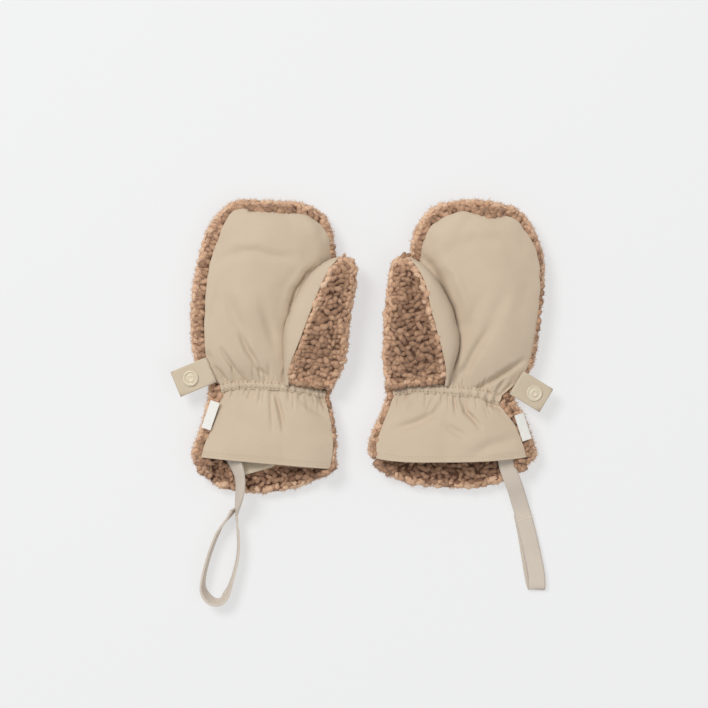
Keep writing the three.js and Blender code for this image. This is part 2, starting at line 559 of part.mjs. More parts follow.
// A group at a point of the seam, turned outwards and tipped down, for what is sewn into the seam
function seamGroup(mitten, { seam, bearing, lift, pitch }) {
  const group = new THREE.Group();
  group.position.set(seam[0] * mitten.turn, seam[1], lift);
  group.rotation.order = 'ZYX';
  group.rotation.z = THREE.MathUtils.degToRad(mitten.turn > 0 ? bearing : 180 - bearing);
  group.rotation.y = THREE.MathUtils.degToRad(pitch);
  return group;
}

// Places of the outline, evenly spaced
function places(from, to, step = 1) {
  const count = Math.round((to - from) / step);
  return Array.from({ length: count + 1 }, (_, i) => from + i * step);
}

// The walls of cloth: back, palm, casing, cuff, the thumb's two halves and what lies inside the cuff
function clothPieces(side) {
  const mitten = mittens[side];
  const { turn } = mitten;
  const holeRows = row.holeEnd - row.casingHigh;
  const thumbSide = thumbCells.top + thumbCells.turn;
  const backGrid = places(row.backHem, row.tip).map((place) => backLine(mitten, place));
  const palmGrid = frontGrid(mitten, places(row.casingHigh, row.tip), frontCells, shellWall);
  const casingGrid = frontGrid(mitten, places(row.casingLow, row.casingHigh, 0.5), casingCells, shellWall);
  const cuffGrid = frontGrid(mitten, places(row.frontHem, row.casingLow, 0.5), frontCells, shellWall);
  const facingPlace = (share, step) => lerp(row.backHem, facingEnd(mitten, share), step);
  const facingGrid = lyingOnBack(mitten, facingPlace, facingWall, seamGap);
  const inPalm = (i, j) => i >= holeRows || j < frontCells.outer;
  const inThumbInner = (i, j) => i >= holeRows || j >= thumbCells.under;
  const inThumbOuter = (i, j) => i >= holeRows || j < thumbSide;
  const pieces = [
    piece(`${side}_back`, clothWall(backGrid, { turn, pointedEnd: true }), 'pile'),
    piece(`${side}_palm`, clothWall(palmGrid, { turn, present: inPalm, pointedEnd: true }), 'shell'),
    piece(`${side}_casing`, clothWall(casingGrid, { turn }), 'casing'),
    piece(`${side}_cuff`, clothWall(cuffGrid, { turn }), 'shell'),
    piece(
      `${side}_thumb_inner`,
      clothWall(thumbInnerGrid(mitten), { turn, present: inThumbInner, pointedEnd: true }),
      'shell',
    ),
    piece(
      `${side}_thumb_outer`,
      clothWall(thumbOuterGrid(mitten), { turn, present: inThumbOuter, pointedEnd: true }),
      'pile',
    ),
    piece(`${side}_cuff_facing`, clothWall(facingGrid, { turn }), 'pile'),
  ];
  if (mitten.liningShows) {
    const liningPlace = (share, step) => lerp(facingEnd(mitten, share) + liningFrom, liningTop, step);
    const liningGrid = lyingOnBack(mitten, liningPlace, liningWall, seamGap);
    pieces.push(piece(`${side}_cuff_lining`, clothWall(liningGrid, { turn }), 'shell'));
  }
  return pieces;
}

// What is sewn on: the tab with its snap, the folded label and the hanging tape
function sewnOnPieces(side) {
  const mitten = mittens[side];
  const tabGroup = seamGroup(mitten, mitten.tab);
  tabGroup.add(piece(`${side}_tab`, tabGeometry(mitten.tab), 'shell'));
  const snapPiece = piece(`${side}_snap`, snapGeometry(mitten.snapKind), 'plastic');
  snapPiece.position.x = mitten.tab.snapAt;
  tabGroup.add(snapPiece);
  const labelGroup = seamGroup(mitten, mitten.label);
  const labelSolid = new THREE.BoxGeometry(label.width, mitten.label.length, label.wall);
  labelGroup.add(piece(`${side}_label`, labelSolid.translate(label.width / 2 + seamGap, 0, 0), 'label'));
  return [tabGroup, labelGroup, piece(`${side}_tape`, tapeGeometry(mitten.tape, mitten.turn), 'tape')];
}

function makeMitten(side) {
  const group = new THREE.Group();
  group.position.set(...mittens[side].wrist, 0);
  group.add(...clothPieces(side), ...sewnOnPieces(side));
  return group;
}

// The pair lies with the middle of its box over the origin and its backs on the ground
const pair = new THREE.Group();
pair.add(makeMitten('left'), makeMitten('right'));
const centre = new THREE.Box3().setFromObject(pair).getCenter(new THREE.Vector3());
pair.position.set(-centre.x, -centre.y, 0);

export default pair;
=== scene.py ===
# A pair of baby mittens laid flat, palms up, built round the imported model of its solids.
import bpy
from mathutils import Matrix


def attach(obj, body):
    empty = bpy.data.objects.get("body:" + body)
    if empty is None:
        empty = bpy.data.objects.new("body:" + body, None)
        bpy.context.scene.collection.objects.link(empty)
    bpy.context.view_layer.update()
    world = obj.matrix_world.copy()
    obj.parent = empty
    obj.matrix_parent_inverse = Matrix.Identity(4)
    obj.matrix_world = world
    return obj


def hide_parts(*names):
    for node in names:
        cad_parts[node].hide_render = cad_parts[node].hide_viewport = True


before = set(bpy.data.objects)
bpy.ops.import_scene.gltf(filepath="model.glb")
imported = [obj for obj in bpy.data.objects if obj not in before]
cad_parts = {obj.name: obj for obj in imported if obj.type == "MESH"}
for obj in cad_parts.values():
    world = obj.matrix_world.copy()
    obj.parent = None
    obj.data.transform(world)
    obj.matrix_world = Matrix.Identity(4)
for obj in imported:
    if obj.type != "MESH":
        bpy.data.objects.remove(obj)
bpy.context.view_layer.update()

import math

import bmesh
import bpy
import numpy as np
from mathutils import Vector, noise
from mathutils.bvhtree import BVHTree

# The pair lies on a pale table that is lit a little from within, as a photographer's table is, under
# soft studio light that comes mostly from the upper left; the camera looks straight down from above.
MM = 0.001
camera_middle = (-4.68 * MM, 28.5 * MM)
camera_height = 1.4
view_width = 424.8 * MM
surface_height = 14 * MM
sensor_width = 36
light_aim = Vector((0, 0.02, 0))


def plain_look(name, colour, roughness):
    material = bpy.data.materials.new(name)
    material.use_nodes = True
    shader = material.node_tree.nodes["Principled BSDF"]
    shader.inputs["Base Color"].default_value = (*colour, 1)
    shader.inputs["Roughness"].default_value = roughness
    return material


bpy.ops.mesh.primitive_plane_add(size=6, location=(0, 0, -0.0001))
floor = bpy.context.object
floor.name = "floor"
bpy.ops.object.transform_apply(location=True)
floor_paper = plain_look("floor_paper", (0.3, 0.302, 0.304), 0.9)
floor_shader = floor_paper.node_tree.nodes["Principled BSDF"]
floor_shader.inputs["Emission Color"].default_value = (1, 1, 1, 1)
floor_shader.inputs["Emission Strength"].default_value = 0.55
floor.data.materials.append(floor_paper)


def soft_light(name, place, size, power):
    lamp = bpy.data.lights.new(name, "AREA")
    lamp.shape = "DISK"
    lamp.size = size
    lamp.energy = power
    holder = bpy.data.objects.new(name, lamp)
    bpy.context.scene.collection.objects.link(holder)
    holder.location = place
    holder.rotation_euler = (light_aim - Vector(place)).to_track_quat("-Z", "Y").to_euler()


soft_light("key_light", (-1.08, 1.18, 2.12), 1.1, 40)
soft_light("fill_light", (1.2, -0.6, 2.4), 2.4, 11)
world = bpy.data.worlds.new("studio")
world.use_nodes = True
world.node_tree.nodes["Background"].inputs["Color"].default_value = (1, 1, 1, 1)
world.node_tree.nodes["Background"].inputs["Strength"].default_value = 0.47
bpy.context.scene.world = world
bpy.context.scene.view_settings.view_transform = "Standard"

camera_data = bpy.data.cameras.new("camera")
camera = bpy.data.objects.new("camera", camera_data)
bpy.context.scene.collection.objects.link(camera)
bpy.context.scene.camera = camera
camera.location = (*camera_middle, camera_height)
camera_data.sensor_width = sensor_width
camera_data.lens = sensor_width * (camera_height - surface_height) / view_width
camera_data.clip_end = 20


# The smooth cloth of palms, wrists and cuffs is a softshell: a fine close weave with a matt face.
# Each panel is a thin wall on its solid's form, with soft troughs and ridges pressed in.
class Link:
    """A shader socket that takes part in Python sums"""

    def __init__(self, tree, socket):
        self.tree, self.socket = tree, socket

    def maths(self, operation, left, right):
        return shader_node(self.tree, "ShaderNodeMath", {"operation": operation}, {0: left, 1: right})

    def __add__(self, other):
        return self.maths("ADD", self, other)

    def __sub__(self, other):
        return self.maths("SUBTRACT", self, other)

    def __rsub__(self, other):
        return self.maths("SUBTRACT", other, self)

    def __mul__(self, other):
        return self.maths("MULTIPLY", self, other)

    __radd__ = __add__
    __rmul__ = __mul__


def shader_node(tree, kind, settings=None, inputs=None, output=0):
    node = tree.nodes.new(kind)
    for key, value in (settings or {}).items():
        if key == "stops":
            ramp = node.color_ramp
            for stop, (place, colour) in zip([*ramp.elements, None], value):
                stop = stop or ramp.elements.new(place)
                stop.position = place
                stop.color = (*colour, 1)
        else:
            setattr(node, key, value)
    for key, value in (inputs or {}).items():
        if isinstance(value, Link):
            tree.links.new(value.socket, node.inputs[key])
        else:
            node.inputs[key].default_value = value
    return Link(tree, node.outputs[output])


def colour_of(red, green, blue):
    """A screen colour of 0 to 255 as the shader's own linear numbers"""
    return tuple((value / 255 / 12.92) if value < 10 else ((value / 255 + 0.055) / 1.055) ** 2.4
                 for value in (red, green, blue))


def start_look(name, roughness, sheen=0.0, sheen_roughness=0.5):
    material = bpy.data.materials.new(name)
    material.use_nodes = True
    shader = material.node_tree.nodes["Principled BSDF"]
    shader.inputs["Roughness"].default_value = roughness
    shader.inputs["Sheen Weight"].default_value = sheen
    shader.inputs["Sheen Roughness"].default_value = sheen_roughness
    shader.inputs["Specular IOR Level"].default_value = 0.3
    return material, material.node_tree, shader


def place_of(tree):
    return shader_node(tree, "ShaderNodeTexCoord", output="Object")


def mixed(tree, share, first, second):
    node = tree.nodes.new("ShaderNodeMix")
    node.data_type = "RGBA"
    for key, value in ((0, share), (6, first), (7, second)):
        if isinstance(value, Link):
            tree.links.new(value.socket, node.inputs[key])
        else:
            node.inputs[key].default_value = value if key == 0 else (*value, 1)
    return Link(tree, node.outputs[2])


def speckle(tree, place, scale, detail=2.0):
    return shader_node(tree, "ShaderNodeTexNoise", {}, {"Vector": place, "Scale": scale, "Detail": detail})


def point_value(tree, name):
    """The value that the mesh holds at each point under a name"""
    return shader_node(tree, "ShaderNodeAttribute", {"attribute_name": name}, output="Fac")


def bumped(tree, shader, height, strength, depth):
    values = {"Height": height, "Strength": strength, "Distance": depth}
    bump = shader_node(tree, "ShaderNodeBump", {}, values)
    tree.links.new(bump.socket, shader.inputs["Normal"])


def set_colour(tree, shader, colour):
    tree.links.new(colour.socket, shader.inputs["Base Color"])


def weave_height(tree, place, threads):
    """Fine bands both ways, crossed as warp and weft are"""
    values = {"Vector": place, "Scale": threads}
    warp = shader_node(tree, "ShaderNodeTexWave", {"bands_direction": "X"}, values)
    weft = shader_node(tree, "ShaderNodeTexWave", {"bands_direction": "Y"}, values)
    return warp * weft


def softshell_look(name, low, high):
    material, tree, shader = start_look(name, 0.82, sheen=0.15)
    place = place_of(tree)
    tone = mixed(tree, speckle(tree, place, 45), colour_of(*low), colour_of(*high))
    flecks = 0.25 * speckle(tree, place, 2200, 1)
    set_colour(tree, shader, mixed(tree, flecks, tone, colour_of(176, 156, 131)))
    face = weave_height(tree, place, 420) + speckle(tree, place, 1500, 1)
    bumped(tree, shader, face, 0.35, 0.00012)
    return material


softshell = softshell_look("softshell", (200, 181, 157), (211, 193, 170))
weld_distance = 0.00002
quad_angle = 1.2
cut_angle = 1.0


def only(obj):
    bpy.ops.object.select_all(action="DESELECT")
    obj.select_set(True)
    bpy.context.view_layer.objects.active = obj


def cloth_copy(node, name):
    """The solid's own form as a new piece, merged and turned back into four-sided faces, with its cut
    edges marked so that they stay where they are when the faces are rounded"""
    piece = bpy.data.objects.new(name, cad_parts[node].data.copy())
    bpy.context.scene.collection.objects.link(piece)
    piece.data.materials.clear()
    only(piece)
    bpy.ops.object.mode_set(mode="EDIT")
    bpy.ops.mesh.select_all(action="SELECT")
    bpy.ops.mesh.remove_doubles(threshold=weld_distance)
    bpy.ops.mesh.tris_convert_to_quads(face_threshold=quad_angle, shape_threshold=quad_angle)
    bpy.ops.object.mode_set(mode="OBJECT")
    shape = bmesh.new()
    shape.from_mesh(piece.data)
    creases = shape.edges.layers.float.new("crease_edge")
    for edge in shape.edges:
        edge[creases] = 1.0 if edge.calc_face_angle(0) > cut_angle else 0.0
    shape.to_mesh(piece.data)
    shape.free()
    return piece


def vectors_of(items, name):
    """A direction or place that each item of a mesh has under a name, as rows"""
    values = np.empty(len(items) * 3)
    items.foreach_get(name, values)
    return values.reshape(-1, 3)


def points_of(piece):
    return vectors_of(piece.data.vertices, "co")


def subdivided(piece, levels):
    only(piece)
    modifier = piece.modifiers.new("rounded", "SUBSURF")
    modifier.levels = modifier.render_levels = levels
    bpy.ops.object.modifier_apply(modifier=modifier.name)


def rounded(piece, levels, edge_growth=0.0):
    """Smooths the solid's facets; the corners first move out by what the smoothing would take off, and
    the cut edges grow to meet the next piece at the seam"""
    cage = points_of(piece).copy()
    trial = piece.copy()
    trial.data = piece.data.copy()
    bpy.context.scene.collection.objects.link(trial)
    subdivided(trial, 1)
    lost = cage - points_of(trial)[:len(cage)]
    bpy.data.objects.remove(trial)
    growth = np.zeros_like(cage)
    for face in piece.data.polygons:
        if abs(face.normal.z) < 0.5:
            growth[list(face.vertices)] += face.normal
    size = np.maximum(np.linalg.norm(growth, axis=1), 1e-9)
    put_points(piece, cage + lost + growth / size[:, None] * edge_growth * MM)
    subdivided(piece, levels)
    bpy.ops.object.shade_smooth()
    return piece


def lengths_along(line):
    """How far along a line each of its points lies"""
    return np.concatenate([[0], np.cumsum(np.linalg.norm(np.diff(line, axis=0), axis=1))])


def put_points(piece, points):
    piece.data.vertices.foreach_set("co", points.ravel())
    piece.data.update()


def trough(points, line, depth, width):
    """Presses a soft trough along a line of (x, y) in millimetres, with the cloth rising a little beside
    it; it fades towards both ends"""
    line = np.array(line, float) * MM
    reach = lengths_along(line)
    reach /= reach[-1]
    nearest = np.full(len(points), 1e9)
    along = np.zeros(len(points))
    for i in range(len(line) - 1):
        way = line[i + 1] - line[i]
        share = np.clip((points[:, :2] - line[i]) @ way / (way @ way), 0, 1)
        away = np.linalg.norm(points[:, :2] - line[i] - share[:, None] * way, axis=1)
        closer = away < nearest
        nearest[closer] = away[closer]
        along[closer] = (reach[i] + share * (reach[i + 1] - reach[i]))[closer]
    fade = np.sin(np.pi * np.clip(along * 0.86 + 0.07, 0, 1)) ** 0.8
    away = nearest / (width * MM)
    points[:, 2] -= depth * MM * fade * (1.25 - 0.5 * away**2) * np.exp(-(away**2))


def unevenness(points, size, height, seed):
    """Slow waves that keep a panel from lying mathematically smooth"""
    for point in points:
        point[2] += height * MM * noise.noise(Vector(point) / (size * MM) + Vector((seed, 0, 0)))


def finish_cloth(piece, look, node, with_pieces=()):
    piece.data.materials.append(look)
    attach(piece, "root")
    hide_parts(node)
    for other in with_pieces:
        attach(other, "root")


def seam_profile(node, top):
    """The upper or lower edge of a node as a line: its y for every x"""
    points = points_of(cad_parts[node])
    order = points[:, 0]
    inset, reach, count = 0.5 * MM, 2.4 * MM, 22
    steps = np.linspace(order.min() + inset, order.max() - inset, count)
    pick = np.max if top else np.min
    edge = [pick(points[np.abs(order - step) < reach][:, 1]) for step in steps]
    return steps, np.array(edge)


def gathers_along(points, steps, edge, way, seed):
    """Short folds that fan out from the casing's stitching into the cloth next to it"""
    count = 17
    random = np.random.default_rng(seed)
    middle = (steps[0] + steps[-1]) / 2
    for x in np.linspace(steps[0], steps[-1], count) + random.normal(0, 0.8 * MM, count):
        start = np.array([x, np.interp(x, steps, edge) - way * 1.5 * MM])
        length = random.uniform(5, 13) * MM
        end = start + np.array([(x - middle) * random.uniform(0.05, 0.22), way * length])
        bend = (start + end) / 2 + random.normal(0, 0.5 * MM, 2)
        depth = random.uniform(0.35, 0.85)
        width = random.uniform(0.8, 1.3)
        trough(points, np.array([start, bend, end]) / MM, depth, width)


# Each palm is one panel of softshell, eased over the hand. Creases run up from the gathered wrist, a soft
# valley follows the thumb, and the cut edges wander a little; every line is (x, y), depth and width in mm.
palm_troughs = {
    "left": [
        ([(-85, 84.5), (-79, 87.6), (-72, 89.4), (-65, 89.6), (-58, 88.2), (-50, 86.6), (-42, 86.2)],
         1.6, 3.6),
        ([(-81, 66), (-77, 54), (-72, 44), (-69.5, 36)], 1.8, 4.2),
        ([(-61, 62), (-57, 50), (-54, 40), (-52, 32)], 1.2, 3.2),
        ([(-84, 31), (-78.8, 23.1), (-75, 17.5), (-70.5, 12)], 2.3, 1.7),
        ([(-72, 39), (-68.5, 31.4), (-65, 26), (-62, 20)], 2.6, 2.2),
        ([(-62.5, 20), (-57.5, 15.5)], 1.6, 1.5),
        ([(-88, 21), (-84, 16), (-80.5, 11.5)], 1.7, 1.5),
        ([(-55.6, 22), (-55.2, 12)], 0.9, 1.4),
        ([(-91, 44), (-87, 58), (-85, 74)], 0.9, 3.0),
        ([(-94, 30), (-90, 25)], 0.8, 2.0),
        ([(-27, 82), (-33.8, 75.4), (-37.8, 69.2), (-41.6, 61.6), (-44.6, 53)], 1.3, 1.0),
        ([(-25, 80.5), (-30, 76.5), (-35.5, 70.5)], 1.0, 1.9),
        ([(-27, 87), (-36, 79), (-41, 71.5), (-45.2, 63), (-48.6, 53)], -0.5, 2.6),
        ([(-38, 106), (-32, 96), (-29.5, 84)], 1.0, 6.0),
    ],
    "right": [
        ([(88, 68), (79, 51), (71, 35)], 1.0, 6.0),
        ([(77, 45), (66.7, 28.2), (63, 20.2), (54, 13)], 2.3, 3.2),
        ([(96.5, 24.5), (93, 22), (87.8, 18.8), (77.6, 12.4), (67.5, 6.5)], 3.0, 1.9),
        ([(56, 92), (68, 97), (82, 97), (94, 92)], 1.0, 4.6),
        ([(100, 78), (96, 62), (91, 44)], 0.7, 5.5),
        ([(58, 46), (56, 28), (53.5, 14)], 1.0, 2.4),
        ([(62, 18), (60, 8)], 1.1, 1.5),
        ([(86, 13), (81, 5)], 1.1, 1.5),
        ([(72, 64), (66, 50), (61, 38)], 0.8, 3.6),
        ([(37.2, 86), (43.2, 77.5), (49, 66.5), (53.4, 57.1), (58, 47)], 3.2, 2.5),
        ([(40, 85), (45.5, 77), (50.5, 68)], 1.5, 2.6),
        ([(46, 90), (56, 74), (61.5, 60), (64.5, 50)], -1.2, 3.6),
    ],
}
thumb_corners = {"left": (-46.1, 52.3, 1.5), "right": (58.2, 48.6, -1.2)}
corner_reach = 5.5 * MM
edge_waviness = 0.75
waves_per_metre = 140


def ease_corner(points, side):
    """Rounds the corner where the thumb's opening meets the seam that runs down from it"""
    x, y, shift = thumb_corners[side]
    away = np.hypot(points[:, 0] - x * MM, points[:, 1] - y * MM)
    points[:, 0] += shift * MM * np.exp(-((away / corner_reach) ** 2))


for seed, side in enumerate(("left", "right")):
    palm = rounded(cloth_copy(f"{side}_palm", f"{side}_palm_cloth"), 3, 0.45)
    points = points_of(palm)
    for line, depth, width in palm_troughs[side]:
        trough(points, line, depth, width)
    steps, edge = seam_profile(f"{side}_casing", True)
    gathers_along(points, steps, edge, 1, 61 + seed)
    unevenness(points, 22, 0.6, 3.0 + 5.0 * seed)
    unevenness(points, 7, 0.12, 5.0)
    ease_corner(points, side)
    upper = np.clip((points[:, 1] / MM - 30) / 20, 0, 1) * MM
    for axis, level in ((0, 90.0), (1, 95.0)):
        drift = [noise.noise(Vector((x * waves_per_metre, y * waves_per_metre, level)))
                 for x, y in points[:, :2]]
        points[:, axis] += edge_waviness * upper * drift
    put_points(palm, points)
    finish_cloth(palm, softshell, f"{side}_palm")


# Each back is one panel of curly pile from the fingertips to the cuff's hem, wrapped round to the palm
# seam: a brown knitted ground and, standing on it, thick short curls that lie mostly across the hand.
def pile_look():
    """Painted shade darkens the foot of each curl, brown along it, and painted light makes the curls on the
    flanks pale
    """
    material, tree, shader = start_look("sherpa_curls", 0.95, sheen=0.35, sheen_roughness=0.4)
    rise = point_value(tree, "rise")
    tone = point_value(tree, "tone")
    # the tone mixes each curl's own brown, raised on the flanks by painted light and lowered by shade
    middle = mixed(tree, tone, colour_of(114, 78, 57), colour_of(217, 175, 142))
    fibres = speckle(tree, place_of(tree), 1800, 3)
    # painted light: where the flank's share lifts the tone above 1, the curl goes pale
    middle = mixed(tree, 0.7 * (tone - 1.0), middle, colour_of(240, 214, 186))
    # painted shade: the lower a point lies on its curl, the darker it is, less so on the flanks
    set_colour(tree, shader, mixed(tree, rise * 0.65 + fibres * 0.3, colour_of(86, 58, 42), middle))
    bumped(tree, shader, fibres, 0.6, 0.0004)
    return material


sherpa_curls = pile_look()


def ground_look():
    material, tree, shader = start_look("sherpa_ground", 0.95)
    grain = speckle(tree, place_of(tree), 900, 3)
    flank = point_value(tree, "flank")
    knit = mixed(tree, grain, colour_of(58, 38, 28), colour_of(112, 78, 58))
    # painted light: the knitted ground is paler on the flanks
    set_colour(tree, shader, mixed(tree, 0.8 * flank, knit, colour_of(168, 128, 100)))
    bumped(tree, shader, grain, 0.8, 0.0006)
    return material


sherpa_ground = ground_look()


def hollow_line(nodes, floor_height, ends):
    """The middle of the hollow inside some nodes, for every y: what faces away from it is outside"""
    points = np.concatenate([points_of(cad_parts[node]) for node in nodes])
    low, high = points[:, 1].min(), points[:, 1].max()
    steps, middles = [], []
    for step in np.linspace(low, high, 13):
        near = points[np.abs(points[:, 1] - step) < (high - low) / 16]
        if len(near):
            steps.append(step)
            middles.append((near[:, 0].min() + near[:, 0].max()) / 2)

    def middle_at(places):
        y = np.clip(places[:, 1], low + ends[0] * MM, high - ends[1] * MM)
        height = np.full(len(y), floor_height * MM)
        return np.stack([np.interp(y, steps, middles), y, height], axis=1)

    return middle_at


def outer_faces(piece, middle_at):
    """Which faces of a piece look away from the hollow inside the mitten"""
    centres, ways = (vectors_of(piece.data.polygons, name) for name in ("center", "normal"))
    return np.einsum("ij,ij->i", centres - middle_at(centres), ways) > 0


def flank_share(upward):
    """How far a face with this upright share in its direction lies on a flank, from 0 to 1"""
    return np.clip((0.97 - np.abs(upward)) * 1.6, 0, 1)


def taken_shape():
    """The points and faces of the primitive just added, which is taken away again"""
    primitive = bpy.context.object
    points = points_of(primitive)
    faces = [tuple(face.vertices) for face in primitive.data.polygons]
    bpy.data.objects.remove(primitive)
    return points, faces


def piece_from(name, points, faces, look, values=()):
    """A new piece from points and faces, with a value at each point under every name given"""
    mesh = bpy.data.meshes.new(name)
    mesh.from_pydata(points, [], faces)
    for label, numbers in values:
        mesh.attributes.new(label, "FLOAT", "POINT").data.foreach_set("value", numbers)
    mesh.materials.append(look)
    piece = bpy.data.objects.new(name, mesh)
    bpy.context.scene.collection.objects.link(piece)
    return piece


def surface_of(pieces):
    """The faces of some pieces as one surface to measure from"""
    corners, faces = [], []
    for piece in pieces:
        faces += [[len(corners) + k for k in face.vertices] for face in piece.data.polygons]
        corners += points_of(piece).tolist()
    return BVHTree.FromPolygons(corners, faces)


def from_above(surface, x, y):
    """The point of a surface that shows from above at a place, and the way it faces there"""
    return surface.ray_cast(Vector((x, y, 0.1)), Vector((0, 0, -1)))[:2]


curl_spacing = 2.55
curl_radius = 1.75
curl_sunk = 1.5
curl_spread = 45
curl_floor = 0.2
curl_stretch = 1.6
curl_end = 1.1
tries_per_place = 22
pile_depth = 1.7
curl_shapes = []
for bend, lump in ((0.3, 0.0), (0.6, 1.0), (1.0, 2.2), (-0.5, 3.1), (-0.9, 4.0), (0.1, 5.2)):
    bpy.ops.mesh.primitive_uv_sphere_add(segments=6, ring_count=7, radius=1)
    shape, faces = taken_shape()
    along = shape[:, 2]
    thick = 0.9 + 0.15 * np.sin(4.5 * along + lump)
    turn = bend * along
    side = shape[:, 0] * thick
    lift = shape[:, 1] * thick
    centre_x = np.sin(turn) / bend
    centre_y = (1 - np.cos(turn)) / bend
    worm = np.stack([
        curl_stretch * centre_x - side * np.sin(turn),
        curl_stretch * centre_y + side * np.cos(turn) - 0.4 * bend,
        lift - 0.4 * along**2,
    ], axis=1)
    curl_shapes.append((worm, faces))


def scattered(piece, outside, random):
    """Places on a piece's outer faces, no two nearer than the curls' spacing, and the way out at each"""
    spacing = curl_spacing * MM
    mesh = piece.data
    mesh.calc_loop_triangles()
    points, normals = points_of(piece), vectors_of(mesh.vertices, "normal")
    corners = np.array([tri.vertices for tri in mesh.loop_triangles if outside[tri.polygon_index]])
    a, b, c = (points[corners[:, k]] for k in range(3))
    size = np.linalg.norm(np.cross(b - a, c - a), axis=1)
    tries = int(size.sum() / 2 / spacing**2 * tries_per_place)
    picks = random.choice(len(corners), tries, p=size / size.sum())
    u, v = random.random((2, tries))
    over = u + v > 1
    u[over], v[over] = 1 - u[over], 1 - v[over]
    spots = a[picks] + u[:, None] * (b - a)[picks] + v[:, None] * (c - a)[picks]
    shares = (1 - u - v, u, v)
    ways = sum(share[:, None] * normals[corners[picks, k]] for k, share in enumerate(shares))
    cells, kept = {}, []
    for i, spot in enumerate(spots):
        cell = tuple((spot // spacing).astype(int))
        near = (cells.get((cell[0] + x, cell[1] + y, cell[2] + z), ())
                for x in (-1, 0, 1) for y in (-1, 0, 1) for z in (-1, 0, 1))
        if any(np.linalg.norm(spots[j] - spot) < spacing for group in near for j in group):
            continue
        cells.setdefault(cell, []).append(i)
        kept.append(i)
    ways = ways[kept] / np.linalg.norm(ways[kept], axis=1)[:, None]
    return spots[kept], ways


def curls_on(name, piece, outside, seed, more=None, shade=0.0, beside=None):
    """One mesh of many curls lying on a piece's outer faces, most of them across the hand; those on its
    flanks are painted paler, as painted light. The places in more are added, and the rest keep off beside"""
    random = np.random.default_rng(seed)
    spots, ways = scattered(piece, outside, random)
    own = len(spots)
    if more is not None:
        spots, ways = np.concatenate([spots, more[0]]), np.concatenate([ways, more[1]])
    cloth = surface_of([piece])

    def well_laid(end):
        if from_above(cloth, end[0], end[1])[0] is None:
            return False
        return beside is None or from_above(beside, end[0], end[1])[0] is None

    all_points, all_faces, rises, tones_and_painted_light = [], [], [], []
    start = 0
    for place, (spot, way) in enumerate(zip(spots, ways)):
        worm, faces = curl_shapes[random.integers(len(curl_shapes))]
        across = np.array([1.0, 0, 0]) if abs(way[0]) < 0.75 else np.array([0, 0.8, 0.6])
        across = across - way * (across @ way)
        across /= np.linalg.norm(across)
        other = np.cross(way, across)
        angle = math.radians(random.normal(0, curl_spread))
        flank = flank_share(way[2])
        size = curl_radius * MM * random.uniform(0.8, 1.25) * (1 + 0.2 * flank)
        centre = spot - way * curl_sunk * MM * random.uniform(0.75, 1.35) * (1 + 0.25 * flank)
        for turn in (0, 1.0, 2.1):
            first = across * math.cos(angle + turn) + other * math.sin(angle + turn)
            ends = [centre + first * reach * size for reach in (-curl_end, curl_end)]
            if place >= own or all(well_laid(end) for end in ends):
                break
        else:
            size *= 0.6
        second = np.cross(way, first)
        points = centre + size * (worm @ np.stack([first, second, way]))
        points[:, 2] = np.maximum(points[:, 2], curl_floor * MM * random.uniform(0.5, 1.0))
        all_points.append(points)
        all_faces.extend(tuple(start + k for k in face) for face in faces)
        start += len(points)
        # rise is each point's height on its curl, for the painted shade at its foot, raised on the flanks as
        # painted light; the flank also lifts the tone as painted light, and shade lowers it
        rises.append(np.clip((worm[:, 2] + 1.1) / 1.9 + 0.65 * flank, 0, 1.3))
        tones_and_painted_light.append(np.full(len(points), random.uniform(0.4, 0.95) + 0.9 * flank - shade))
    values = [("rise", np.concatenate(rises)), ("tone", np.concatenate(tones_and_painted_light))]
    curls = piece_from(name, np.concatenate(all_points), all_faces, sherpa_curls, values)
    only(curls)
    bpy.ops.object.shade_smooth()
    return curls


def laid_by_hand(nodes, lines, raised, seed):
    """Places for curls along lines of (x, y) in millimetres, at the height of the nearest cloth"""
    pitch = 2.0
    random = np.random.default_rng(seed)
    surface = surface_of([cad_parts[node] for node in nodes])
    spots = []
    for line in lines:
        line = np.array(line, float)
        reach = lengths_along(line)
        for step in np.arange(0, reach[-1] + 0.1, pitch):
            x = (np.interp(step, reach, line[:, 0]) + random.normal(0, 0.25)) * MM
            y = (np.interp(step, reach, line[:, 1]) + random.normal(0, 0.25)) * MM
            near = surface.find_nearest(Vector((x, y, 0.02)))[0]
            spots.append((x, y, near.z + raised * MM))
    return np.array(spots), np.tile([0.0, -0.3, 0.954], (len(spots), 1))


def fringe(node, piece, ends, seed):
    """Places for the curls that hang over the casing's edge from a piece above it, between two ends"""
    random = np.random.default_rng(seed)
    steps, edge = seam_profile(node, True)
    surface = surface_of([piece])
    pitch, behind = 1.9, 1.8
    spots = []
    for x in np.arange(ends[0], ends[1], pitch):
        y = np.interp(x * MM, steps, edge) + random.uniform(0.5, 1.5) * MM
        hit = from_above(surface, x * MM, y + behind * MM)[0]
        if hit is not None:
            spots.append((x * MM, y, hit.z - random.uniform(0.2, 1.4) * MM))
    return np.array(spots), np.tile([0.0, -0.5, 0.866], (len(spots), 1))


def ground_under(piece, outside, depth):
    """The knitted ground lies below the pile: the points of its outer faces go in by the pile's depth,
    and by less on the flanks, where the pile is thin"""
    points = points_of(piece)
    ways = np.zeros_like(points)
    for face in piece.data.polygons:
        if outside[face.index]:
            ways[list(face.vertices)] += face.normal
    length = np.linalg.norm(ways, axis=1)
    moved = length > 0
    ways[moved] /= length[moved, None]
    flank = np.where(moved, flank_share(ways[:, 2]), 0)
    points -= ways * ((depth - 0.7 * flank) * MM)[:, None]
    put_points(piece, points)
    # the flank share is kept for the ground's painted light on the flanks
    piece.data.attributes.new("flank", "FLOAT", "POINT").data.foreach_set("value", flank)


